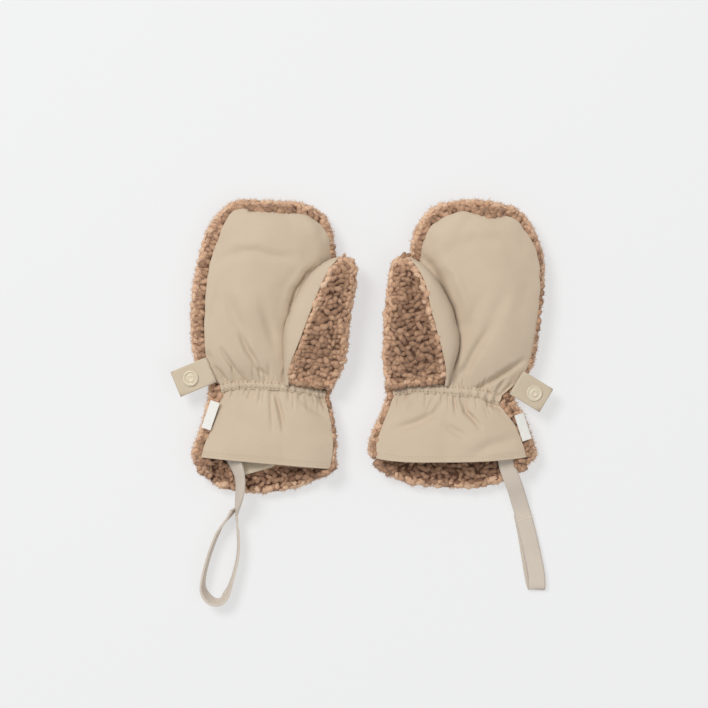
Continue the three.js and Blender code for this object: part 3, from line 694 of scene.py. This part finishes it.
bpy.ops.mesh.primitive_cone_add(vertices=3, radius1=1, depth=1)
spike_points, spike_faces = taken_shape()
spike_points += [0, 0, 0.5]
spike_thickness = 0.12 * MM
spike_root = 0.2 * MM
lowest_fibre = 0.0001


def values_of(piece, name):
    """The value that a piece holds at each point under a name"""
    values = np.empty(len(piece.data.vertices))
    piece.data.attributes[name].data.foreach_get("value", values)
    return values


def fibres_on(name, curls, count, length, seed):
    """Fine loose fibres that stand out of the curls, each a thin closed spike"""
    random = np.random.default_rng(seed)
    points, ways = points_of(curls), vectors_of(curls.data.vertices, "normal")
    high = np.flatnonzero((values_of(curls, "rise") > 0.45) & (points[:, 2] > 0.001))
    flank = 1 - np.abs(ways[high][:, 2])
    weight = 0.25 + flank
    picks = random.choice(high, count, p=weight / weight.sum())
    way = ways[picks] + random.normal(0, 0.55, (count, 3))
    way /= np.linalg.norm(way, axis=1)[:, None]
    aside = np.cross(way, random.normal(0, 1, (count, 3)))
    aside /= np.linalg.norm(aside, axis=1)[:, None]
    other = np.cross(way, aside)
    reach = length * MM * random.uniform(0.5, 1.2, (count, 1))
    foot = points[picks] - way * spike_root
    lean = way * (reach + spike_root) + aside * reach * 0.25
    corners = [foot + spike_thickness * (x * aside + y * other) + z * lean for x, y, z in spike_points]
    all_points = np.stack(corners, axis=1).reshape(-1, 3)
    all_points[:, 2] = np.maximum(all_points[:, 2], lowest_fibre)
    size = len(spike_points)
    faces = [tuple(size * i + k for k in face) for i in range(count) for face in spike_faces]
    # each fibre keeps its curl's tone, painted light on the flanks included, and a full rise, so no painted
    # shade at its foot
    tone = np.repeat(values_of(curls, "tone")[picks], size)
    return piece_from(name, all_points, faces, sherpa_curls, [("rise", np.ones(len(tone))), ("tone", tone)])


pile_over_palm = {
    "left": [[(-65.5, 115.2), (-42.5, 113.7)]],
    "right": [[(70.5, 112.8), (77, 111.0), (79.5, 111.0), (83.5, 112.4)], [(74, 113.2), (82, 112.9)]],
}
pile_at_hem = {
    "left": [
        [(-97.8, -38), (-97.4, -41), (-95.4, -43.4), (-92, -45.3)],
        [(-16.5, -39), (-20, -42), (-25, -44)],
        [(-95, -36.5), (-90, -37)],
        [(-97.4, 64), (-96.8, 56)],
        [(-95.2, 82.5), (-95.6, 80.5)],
    ],
    "right": [
        [(9.5, -38), (12.5, -41.5), (17, -44)],
        [(93, -39), (96, -41), (99, -39)],
        [(93, -36.5), (98, -35.5)],
    ],
}
for seed, side in enumerate(("left", "right")):
    back = rounded(cloth_copy(f"{side}_back", f"{side}_back_ground"), 1)
    outside = outer_faces(back, hollow_line([f"{side}_back"], 5.7, (15, 28)))
    over = laid_by_hand([f"{side}_back", f"{side}_palm"], pile_over_palm[side], 1.0, 91 + seed)
    hem = laid_by_hand([f"{side}_back"], pile_at_hem[side], 0.6, 93 + seed)
    cuff_front = surface_of([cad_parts[f"{side}_cuff"]])
    by_hand = [np.concatenate(pair) for pair in zip(over, hem)]
    curls = curls_on(f"{side}_back_curls", back, outside, 11 + seed, more=by_hand, beside=cuff_front)
    fibres = fibres_on(f"{side}_back_fibres", curls, 42000, 1.9, 41 + seed)
    ground_under(back, outside, pile_depth)
    finish_cloth(back, sherpa_ground, f"{side}_back",
                 [curls, fibres])


# The thumb has two halves: softshell towards the palm and pile on the other side, seamed over the ridge.
# Its inner half reaches down to the casing, and curls hang over the casing's edge from the pile half.
fringe_ends = {"left": (-50, -25), "right": (10, 43.5)}
pile_at_corners = {
    "left": [[(-26, 13), (-26, 13)]],
    "right": [[(44.2, 11.8), (48.2, 11.8)], [(47.4, 10.7), (47.4, 10.7)], [(25, 86.0), (27.2, 86.0)]],
}
for seed, side in enumerate(("left", "right")):
    inner = rounded(cloth_copy(f"{side}_thumb_inner", f"{side}_thumb_inner_cloth"), 3, 0.45)
    points = points_of(inner)
    unevenness(points, 18, 0.4, 5.0)
    ease_corner(points, side)
    foot = np.exp(-(((points[:, 1] - points[:, 1].min()) / (2.2 * MM)) ** 2))
    points -= np.stack([0 * foot, 2.0 * MM * foot, 0.3 * MM * foot], axis=1)
    put_points(inner, points)
    finish_cloth(inner, softshell, f"{side}_thumb_inner")
    outer = rounded(cloth_copy(f"{side}_thumb_outer", f"{side}_thumb_outer_ground"), 1)
    both = [f"{side}_thumb_inner", f"{side}_thumb_outer"]
    outside = outer_faces(outer, hollow_line(both, 16, (8, 16)))
    foot_curls = fringe(f"{side}_casing", outer, fringe_ends[side], 81 + seed)
    corner_curls = laid_by_hand(both, pile_at_corners[side], 0.6, 95 + seed)
    by_hand = [np.concatenate(pair) for pair in zip(foot_curls, corner_curls)]
    curls = curls_on(f"{side}_thumb_curls", outer, outside, 21 + seed, more=by_hand,
                     shade=0.07 + 0.12 * seed)
    fibres = fibres_on(f"{side}_thumb_fibres", curls, 9000, 1.5, 51 + seed)
    ground_under(outer, outside, pile_depth)
    finish_cloth(outer, sherpa_ground, f"{side}_thumb_outer",
                 [curls, fibres])


# The wrist's casing is a band of softshell round a stretched elastic, held by a row of stitches along
# each edge: the cloth puckers at the rows and puffs up between them, and the folds run out on both sides.
thread = plain_look("thread", colour_of(186, 168, 142), 0.6)
# painted shade: the casing's stitches are darker than the hem's thread, standing in for the shade of the
# dimples at the rows
thread_painted_shade = plain_look("thread_painted_shade", colour_of(163, 143, 116), 0.7)
tape_thread = plain_look("tape_thread", colour_of(232, 219, 200), 0.6)
casing_rows = {"lower": 0.14, "upper": 0.86}


def stitches_along(name, line, pitch, carrier, look, length, radius, sunk):
    """A row of short stitches on a cloth, along a line of (x, y) in metres seen from above"""
    line = np.array(line, float)
    reach = lengths_along(line)
    places = np.arange(0.5 * pitch * MM, reach[-1], pitch * MM)
    xs, ys = np.interp(places, reach, line[:, 0]), np.interp(places, reach, line[:, 1])
    cloth = surface_of([carrier])
    bpy.ops.mesh.primitive_uv_sphere_add(segments=6, ring_count=5, radius=1)
    ball, faces = taken_shape()
    shape = ball[:, [2, 0, 1]] * [length / 2 * MM, radius * MM, radius * MM]
    all_points, all_faces = [], []
    for k in range(len(places)):
        hit, way = from_above(cloth, xs[k], ys[k])
        if hit is None:
            continue
        ahead = min(k + 1, len(places) - 1)
        behind = max(k - 1, 0)
        along = Vector((xs[ahead] - xs[behind], ys[ahead] - ys[behind], 0))
        along = (along - way * along.dot(way)).normalized()
        turn = np.array([along, way.cross(along), way])
        start = len(all_points) * len(shape)
        all_points.append(np.array(hit - way * sunk * MM) + shape @ turn)
        all_faces.extend(tuple(start + v for v in face) for face in faces)
    row = piece_from(name, np.concatenate(all_points), all_faces, look)
    only(row)
    bpy.ops.object.shade_smooth()
    return row


for seed, side in enumerate(("left", "right")):
    casing = rounded(cloth_copy(f"{side}_casing", f"{side}_casing_cloth"), 3, 0.5)
    points = points_of(casing)
    steps, low = seam_profile(f"{side}_casing", False)
    high = seam_profile(f"{side}_casing", True)[1]
    bottom, top = np.interp(points[:, 0], steps, low), np.interp(points[:, 0], steps, high)
    share = np.clip((points[:, 1] - bottom) / (top - bottom), 0, 1)
    drift = np.array([noise.noise(Vector((x / (6 * MM), seed * 9.0, 0))) for x in points[:, 0]])
    strength = np.array([noise.noise(Vector((x / (5 * MM), 4.0, seed))) for x in points[:, 0]])
    fold = np.sin(2 * np.pi * (points[:, 0] / (2.7 * MM) + 0.9 * drift + 0.5 * share))
    points[:, 2] += MM * (0.25 + 0.75 * np.sin(np.pi * share))
    points[:, 2] += MM * 0.25 * fold * (0.75 + 0.7 * strength) * (1 - 0.35 * np.sin(np.pi * share))
    for row_share in casing_rows.values():
        points[:, 2] -= MM * 0.22 * np.exp(-(((share - row_share) / 0.09) ** 2))
    points[:, 1] += MM * 0.2 * fold * np.where(share > 0.5, 1, -1)
    put_points(casing, points)
    for name, part in casing_rows.items():
        line = np.stack([steps, low + part * (high - low)], axis=1)
        row = stitches_along(f"{side}_casing_stitches_{name}", line, 2.4, casing, thread_painted_shade, 1.2, 0.3, 0.0)
        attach(row, "root")
    finish_cloth(casing, softshell, f"{side}_casing")


# The front of the cuff flares from the casing to a hem turned under and stitched twice; folds fan out of
# the casing, and the two rows of stitches sink a little into the hem.
cuff_troughs = {
    "left": [
        ([(-53, 9), (-50.5, -0.3), (-48.5, -7.2), (-46.8, -17)], 2.0, 1.7),
        ([(-55.5, 9), (-54.4, 1), (-53.6, -17)], 0.9, 1.5),
        ([(-65.8, 8), (-68.8, 1)], 1.0, 1.4),
        ([(-26, 4), (-22, -4)], 1.6, 1.4),
        ([(-37, 1), (-30, -4), (-22, -9)], 1.1, 2.2),
        ([(-82, -6), (-70, -14), (-56, -18)], 0.6, 5.0),
        ([(-44, -14), (-34, -20), (-24, -22)], 0.5, 4.5),
    ],
    "right": [
        ([(60.7, 2), (62.3, -6), (66.7, -10.4), (71, -15.5)], 2.4, 1.8),
        ([(20, -17), (34, -12.5), (43.4, -7.4), (49, 0)], 2.2, 3.2),
        ([(50.5, -14), (56, -18), (62, -21)], 1.6, 2.8),
        ([(74, 4), (76.5, -1.5), (84, -4.5)], 1.7, 1.6),
        ([(66, -32), (77.6, -26), (92, -23)], 1.5, 4.2),
        ([(55.6, 3), (56.6, -8)], 1.1, 1.6),
        ([(43, 2), (39, -6)], 1.2, 1.6),
        ([(31, 2), (28, -6)], 0.8, 1.5),
    ],
}
hem_rows = {"lower": 1.6, "upper": 3.0}
for seed, side in enumerate(("left", "right")):
    cuff = rounded(cloth_copy(f"{side}_cuff", f"{side}_cuff_cloth"), 3, 0.35)
    points = points_of(cuff)
    for line, depth, width in cuff_troughs[side]:
        trough(points, line, depth, width)
    steps, edge = seam_profile(f"{side}_casing", False)
    gathers_along(points, steps, edge, -1, 71 + seed)
    unevenness(points, 20, 0.6, 12.0 + seed)
    unevenness(points, 6, 0.1, 15.0)
    steps, hem = seam_profile(f"{side}_cuff", False)
    lift = (points[:, 1] - np.interp(points[:, 0], steps, hem)) / MM
    grooves = sum(np.exp(-(((lift - up) / 0.5) ** 2)) for up in hem_rows.values())
    points[:, 2] -= MM * 0.22 * grooves
    put_points(cuff, points)
    for name, up in hem_rows.items():
        line = np.stack([steps, hem + up * MM], axis=1)
        row = stitches_along(f"{side}_hem_stitches_{name}", line, 2.0, cuff, thread, 1.4, 0.16, 0.04)
        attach(row, "root")
    finish_cloth(cuff, softshell, f"{side}_cuff")


# Inside the cuff the pile is turned in as a facing, and in the left one a patch of smooth lining shows
# past it, drawn out a little beside the tape.
facing_depth = 1.4
for seed, side in enumerate(("left", "right")):
    facing = rounded(cloth_copy(f"{side}_cuff_facing", f"{side}_facing_ground"), 2)
    places = points_of(facing)[:, 0]
    middle = places.mean()
    reach = places.max() - middle - 3.5 * MM
    upward = np.array([face.normal.z > 0.3 for face in facing.data.polygons])
    inward = np.array([abs(face.center.x - middle) < reach for face in facing.data.polygons])
    # painted shade: these curls lie inside the cuff's mouth, and shade lowers their tone
    curls = curls_on(f"{side}_facing_curls", facing, upward & inward, 31 + seed, shade=0.18 + 0.10 * seed)
    ground_under(facing, upward, facing_depth)
    finish_cloth(facing, sherpa_ground, f"{side}_cuff_facing",
                 [curls])
# painted light: the lining is given a paler colour than its cloth has, so that it shows bright in the shade
# of the hem
smooth_lining_painted_light = softshell_look("smooth_lining_painted_light", (236, 220, 193), (244, 230, 205))
lining = rounded(cloth_copy("left_cuff_lining", "left_cuff_lining_cloth"), 2)
points = points_of(lining)
free = np.clip((-0.031 - points[:, 1]) / 0.008, 0, 1)
free *= np.clip((points[:, 0] + 0.078) / 0.006, 0, 1)
free *= np.clip((-0.048 - points[:, 0]) / 0.006, 0, 1)
points += np.stack([0 * free, -2.6 * MM * free, (0.2 + 4.4 * free) * MM], axis=1)
unevenness(points, 6, 0.5, 30.0)
put_points(lining, points)
finish_cloth(lining, smooth_lining_painted_light, "left_cuff_lining")


# The tabs are flat strips of softshell sewn into the side seams, each with a moulded snap through it: the
# left one has a ring round a recess, the right one a flatter disc with a rim.
def lie_of(node):
    """A flat node's middle, its three own directions from the longest to the thinnest, and its points
    in them; the thin direction looks up and the first looks away from the pair's middle"""
    points = np.unique(np.round(points_of(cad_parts[node]), 7), axis=0)
    middle = (points.min(axis=0) + points.max(axis=0)) / 2
    ways = np.linalg.svd(points - middle, full_matrices=False)[2]
    ways[2] *= np.sign(ways[2][2])
    ways[0] *= np.sign(ways[0] @ middle) or 1
    ways[1] = np.cross(ways[2], ways[0])
    return middle, ways, (points - middle) @ ways.T


def laid_in(piece, middle, ways):
    """Turns a piece modelled flat round the origin into a node's lie"""
    put_points(piece, middle + points_of(piece) @ ways)


def snap_look():
    material, tree, shader = start_look("snap_plastic", 0.36)
    place = place_of(tree)
    tone = mixed(tree, speckle(tree, place, 380), colour_of(219, 202, 175), colour_of(228, 213, 188))
    set_colour(tree, shader, tone)
    shader.inputs["Specular IOR Level"].default_value = 0.5
    shader.inputs["Subsurface Weight"].default_value = 0.08
    bumped(tree, shader, speckle(tree, place, 2600, 2), 0.12, 0.00005)
    return material


snap_plastic = snap_look()
snap_below = [(4.0, -1.7), (4.55, -1.45), (4.8, -1.15), (4.8, -0.86), (1.7, -0.86), (1.7, 0.86)]
snap_above = {
    "left": [(4.8, 0.86), (4.85, 1.2), (4.75, 1.75), (4.5, 2.05), (4.1, 2.16), (3.65, 2.05), (3.4, 1.75),
             (3.25, 1.38), (3.0, 1.3), (2.6, 1.34), (2.4, 1.62), (2.15, 1.9), (1.75, 1.98), (1.35, 1.84),
             (0.95, 1.7), (0.5, 1.66), (0.1, 1.65)],
    "right": [(4.8, 0.86), (4.85, 1.2), (4.75, 1.6), (4.5, 1.82), (4.2, 1.9), (3.9, 1.78), (3.7, 1.6),
              (3.3, 1.55), (2.5, 1.58), (2.2, 1.72), (1.95, 2.02), (1.6, 2.1), (1.3, 1.98), (1.1, 1.7),
              (0.7, 1.64), (0.1, 1.7)],
}


def turned(name, profile):
    """A round body drawn up from a disc, ring by ring, along a profile of (radius, height)"""
    radius, height = profile[0]
    bpy.ops.mesh.primitive_circle_add(vertices=48, radius=radius * MM, fill_type="NGON",
                                      location=(0, 0, height * MM))
    body = bpy.context.object
    body.name = name
    bpy.ops.object.transform_apply(location=True)
    bpy.ops.object.mode_set(mode="EDIT")
    bpy.ops.mesh.select_all(action="SELECT")
    for wide, high in profile[1:]:
        bpy.ops.mesh.extrude_region_move(TRANSFORM_OT_translate={"value": (0, 0, (high - height) * MM)})
        bpy.ops.transform.resize(value=(wide / radius, wide / radius, 1), center_override=(0, 0, high * MM))
        radius, height = wide, high
    bpy.ops.mesh.select_all(action="SELECT")
    bpy.ops.mesh.normals_make_consistent(inside=False)
    bpy.ops.object.mode_set(mode="OBJECT")
    return body


tab_softshell = softshell_look("softshell_tab", (202, 186, 162), (212, 197, 174))
for side, length in (("left", 0.0237), ("right", 0.0214)):
    snap_middle = lie_of(f"{side}_snap")[0]
    tab_middle, tab_ways = lie_of(f"{side}_tab")[:2]
    heights = (points_of(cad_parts[f"{side}_snap"]) - snap_middle) @ tab_ways[2]
    foot = snap_middle + tab_ways[2] * (heights.min() - snap_below[0][1] * MM)
    strip = rounded(cloth_copy(f"{side}_tab", f"{side}_tab_cloth"), 3)
    points = points_of(strip)
    local = (points - tab_middle) @ tab_ways.T
    reach = np.linalg.norm((points - foot) @ tab_ways[:2].T, axis=1) / MM
    press = 0.22 * np.exp(-(((reach - 5.2) / 1.3) ** 2)) * np.sign(local[:, 2])
    edge_share = np.clip((np.abs(local[:, 1]) / MM - 7.5) / 0.6, 0, 1)
    press += 0.3 * edge_share**2 * np.sign(local[:, 2])
    points -= tab_ways[2] * (MM * press)[:, None]
    unevenness(points, 11, 0.35, 20.0)
    put_points(strip, points)
    finish_cloth(strip, tab_softshell, f"{side}_tab")
    snap = turned(f"{side}_snap_body", snap_below + snap_above[side])
    snap.data.materials.append(snap_plastic)
    laid_in(snap, foot, tab_ways)
    only(snap)
    bpy.ops.object.shade_smooth_by_angle(angle=math.radians(50))
    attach(snap, "root")
    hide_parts(f"{side}_snap")


# The labels are bare white woven tape, folded once with the fold outwards and both ends in the seam; each
# is a grid drawn round the fold, with a wall put on it.
def label_look():
    material, tree, shader = start_look("label_tape", 0.6, sheen=0.2)
    place = place_of(tree)
    tone = mixed(tree, speckle(tree, place, 300), colour_of(226, 224, 217), colour_of(240, 238, 232))
    set_colour(tree, shader, tone)
    bumped(tree, shader, weave_height(tree, place, 700), 0.5, 0.00012)
    return material


label_tape = label_look()
mitten_middles = {"left": (-0.055, -0.01, 0.01), "right": (0.055, -0.01, 0.01)}
woven_thickness = 0.08 * MM
for seed, side in enumerate(("left", "right")):
    middle, ways, local = lie_of(f"{side}_label")
    outward = ways[1] * np.sign(ways[1] @ (middle - np.array(mitten_middles[side])))
    ways = np.stack([ways[0], outward, ways[2]])
    half_length, half_width, half_wall = np.abs(local).max(axis=0)
    wall = half_wall - woven_thickness
    bend = half_wall - wall / 2
    turns = [math.radians(angle) for angle in (90, 60, 30, 0, -30, -60, -90)]
    fold = [(half_width - half_wall + bend * math.cos(turn), bend * math.sin(turn)) for turn in turns]
    leaf = [(-half_width + share * (2 * half_width - half_wall), bend) for share in (0.25, 0.5, 0.75)]
    path = leaf + fold + [(place, -height) for place, height in reversed(leaf)] + [(-half_width, -bend)]
    bpy.ops.mesh.primitive_grid_add(x_subdivisions=18, y_subdivisions=1, size=1, location=(0, 0, 0))
    strip = bpy.context.object
    strip.name = f"{side}_label_strip"
    first = path[0][0] + half_width
    bpy.ops.object.mode_set(mode="EDIT")
    bpy.ops.transform.resize(value=(2 * half_length, first, 1), center_override=(0, 0, 0))
    bpy.ops.transform.translate(value=(0, path[0][0] - first / 2, bend))
    bpy.ops.mesh.select_all(action="DESELECT")
    shape = bmesh.from_edit_mesh(strip.data)
    for edge in shape.edges:
        edge.select_set(all(vert.co.y > path[0][0] - 0.01 * MM for vert in edge.verts))
    bmesh.update_edit_mesh(strip.data)
    bpy.ops.mesh.select_mode(type="EDGE")
    for (place, height), (further, lower) in zip(path, path[1:]):
        step = (0, further - place, lower - height)
        bpy.ops.mesh.extrude_region_move(TRANSFORM_OT_translate={"value": step})
    bpy.ops.mesh.select_mode(type="VERT")
    bpy.ops.object.mode_set(mode="OBJECT")
    only(strip)
    modifier = strip.modifiers.new("woven_wall", "SOLIDIFY")
    modifier.thickness = wall
    modifier.offset = 0
    bpy.ops.object.modifier_apply(modifier=modifier.name)
    strip.data.materials.append(label_tape)
    laid_in(strip, middle, ways)
    points = points_of(strip)
    unevenness(points, 9, 0.5, 40.0 + seed)
    put_points(strip, points)
    only(strip)
    bpy.ops.object.mode_set(mode="EDIT")
    bpy.ops.mesh.select_all(action="SELECT")
    bpy.ops.mesh.normals_make_consistent(inside=False)
    bpy.ops.object.mode_set(mode="OBJECT")
    bpy.ops.object.shade_smooth_by_angle(angle=math.radians(50))
    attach(strip, "root")
    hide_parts(f"{side}_label")


# The tapes are 10 mm elastic, sewn into the cuffs and turned back on themselves into hanging loops; the
# elastic's cords run along it as fine ribs, crossed by the covering yarn.
def elastic_look():
    material, tree, shader = start_look("elastic_tape", 0.8, sheen=0.2)
    turns = {"ribs": 5.0 * point_value(tree, "across"), "yarn": 8.5 * point_value(tree, "along")}
    waves = {name: shader_node(tree, "ShaderNodeMath", {"operation": "SINE"}, {0: turn})
             for name, turn in turns.items()}
    ribs = 0.5 + 0.5 * waves["ribs"]
    yarn = 0.5 + 0.5 * waves["yarn"]
    grain = speckle(tree, place_of(tree), 1200, 2)
    pale = mixed(tree, speckle(tree, place_of(tree), 60), colour_of(209, 197, 183), colour_of(219, 208, 195))
    set_colour(tree, shader, mixed(tree, 0.2 - 0.14 * ribs + 0.12 * grain, pale, colour_of(172, 156, 138)))
    bumped(tree, shader, ribs + 0.3 * yarn + 0.5 * grain, 0.4, 0.00012)
    return material


def tape_rings(node):
    """The node's cross-sections in order, each as its middle and its wide direction"""
    mesh = bmesh.new()
    mesh.from_mesh(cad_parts[node].data)
    bmesh.ops.remove_doubles(mesh, verts=mesh.verts, dist=0.00001)
    mesh.verts.ensure_lookup_table()
    ring = sorted(mesh.verts, key=lambda vert: -vert.co.y)[:4]
    seen, rings = set(ring), []
    while ring:
        points = np.array([vert.co[:] for vert in ring])
        middle = points.mean(axis=0)
        wide = np.linalg.svd(points - middle)[2][0]
        if rings and wide @ rings[-1][1] < 0:
            wide = -wide
        rings.append((middle, wide))
        ring = [vert for vert in {edge.other_vert(old) for old in ring for edge in old.link_edges} - seen]
        seen.update(ring)
    mesh.free()
    return np.array([pair[0] for pair in rings]), np.array([pair[1] for pair in rings])


elastic = elastic_look()
tape_joins = {
    "left": [[(-79.5, -66.5), (-74.0, -67.5)], [(-79.5, -69.0), (-74.0, -70.0)]],
    "right": [[(93.7, -70.8), (102.7, -67.9)], [(94.2, -72.6), (103.2, -69.7)]],
}
loop_middle = [-0.0848, -0.0927]
loop_radii_squared = [0.008**2, 0.026**2]
loop_mid_height = 0.005
for side, length in (("left", 0.178), ("right", 0.149)):
    strip = rounded(cloth_copy(f"{side}_tape", f"{side}_tape_elastic"), 3)
    middles, wides = tape_rings(f"{side}_tape")
    reach = lengths_along(middles)
    points = points_of(strip)
    best = np.full(len(points), 1e9)
    along, across = np.zeros(len(points)), np.zeros(len(points))
    for k in range(len(middles) - 1):
        way = middles[k + 1] - middles[k]
        share = np.clip((points - middles[k]) @ way / (way @ way), 0, 1)
        away = points - middles[k] - share[:, None] * way
        wide = wides[k] + share[:, None] * (wides[k + 1] - wides[k])
        offset = np.einsum("ij,ij->i", away, wide)
        gap = np.linalg.norm(away - offset[:, None] * wide, axis=1)
        closer = gap + 0.15 * np.maximum(np.abs(offset) - 5.2 * MM, 0) < best
        best[closer] = gap[closer]
        along[closer] = (reach[k] + share * (reach[k + 1] - reach[k]))[closer]
        across[closer] = offset[closer]
    for name, values in (("along", along / MM), ("across", across / MM)):
        strip.data.attributes.new(name, "FLOAT", "POINT").data.foreach_set("value", values)
    if side == "left":
        loop = (points[:, :2] - loop_middle) / loop_radii_squared
        loop /= np.linalg.norm(loop, axis=1)[:, None]
        lean = 0.12 + 0.28 * np.exp(-(((points[:, 1] - points[:, 1].min()) / 0.009) ** 2))
        lean *= np.clip((-0.070 - points[:, 1]) / 0.01, 0, 1)
        points[:, :2] += loop * ((points[:, 2] - loop_mid_height) * lean)[:, None]
        put_points(strip, points)
    for name, line in zip(("upper", "lower"), tape_joins[side]):
        row = stitches_along(f"{side}_tape_stitches_{name}", np.array(line) * MM, 1.7, strip, tape_thread,
                             1.3, 0.3, 0.0)
        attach(row, "root")
    finish_cloth(strip, elastic, f"{side}_tape")
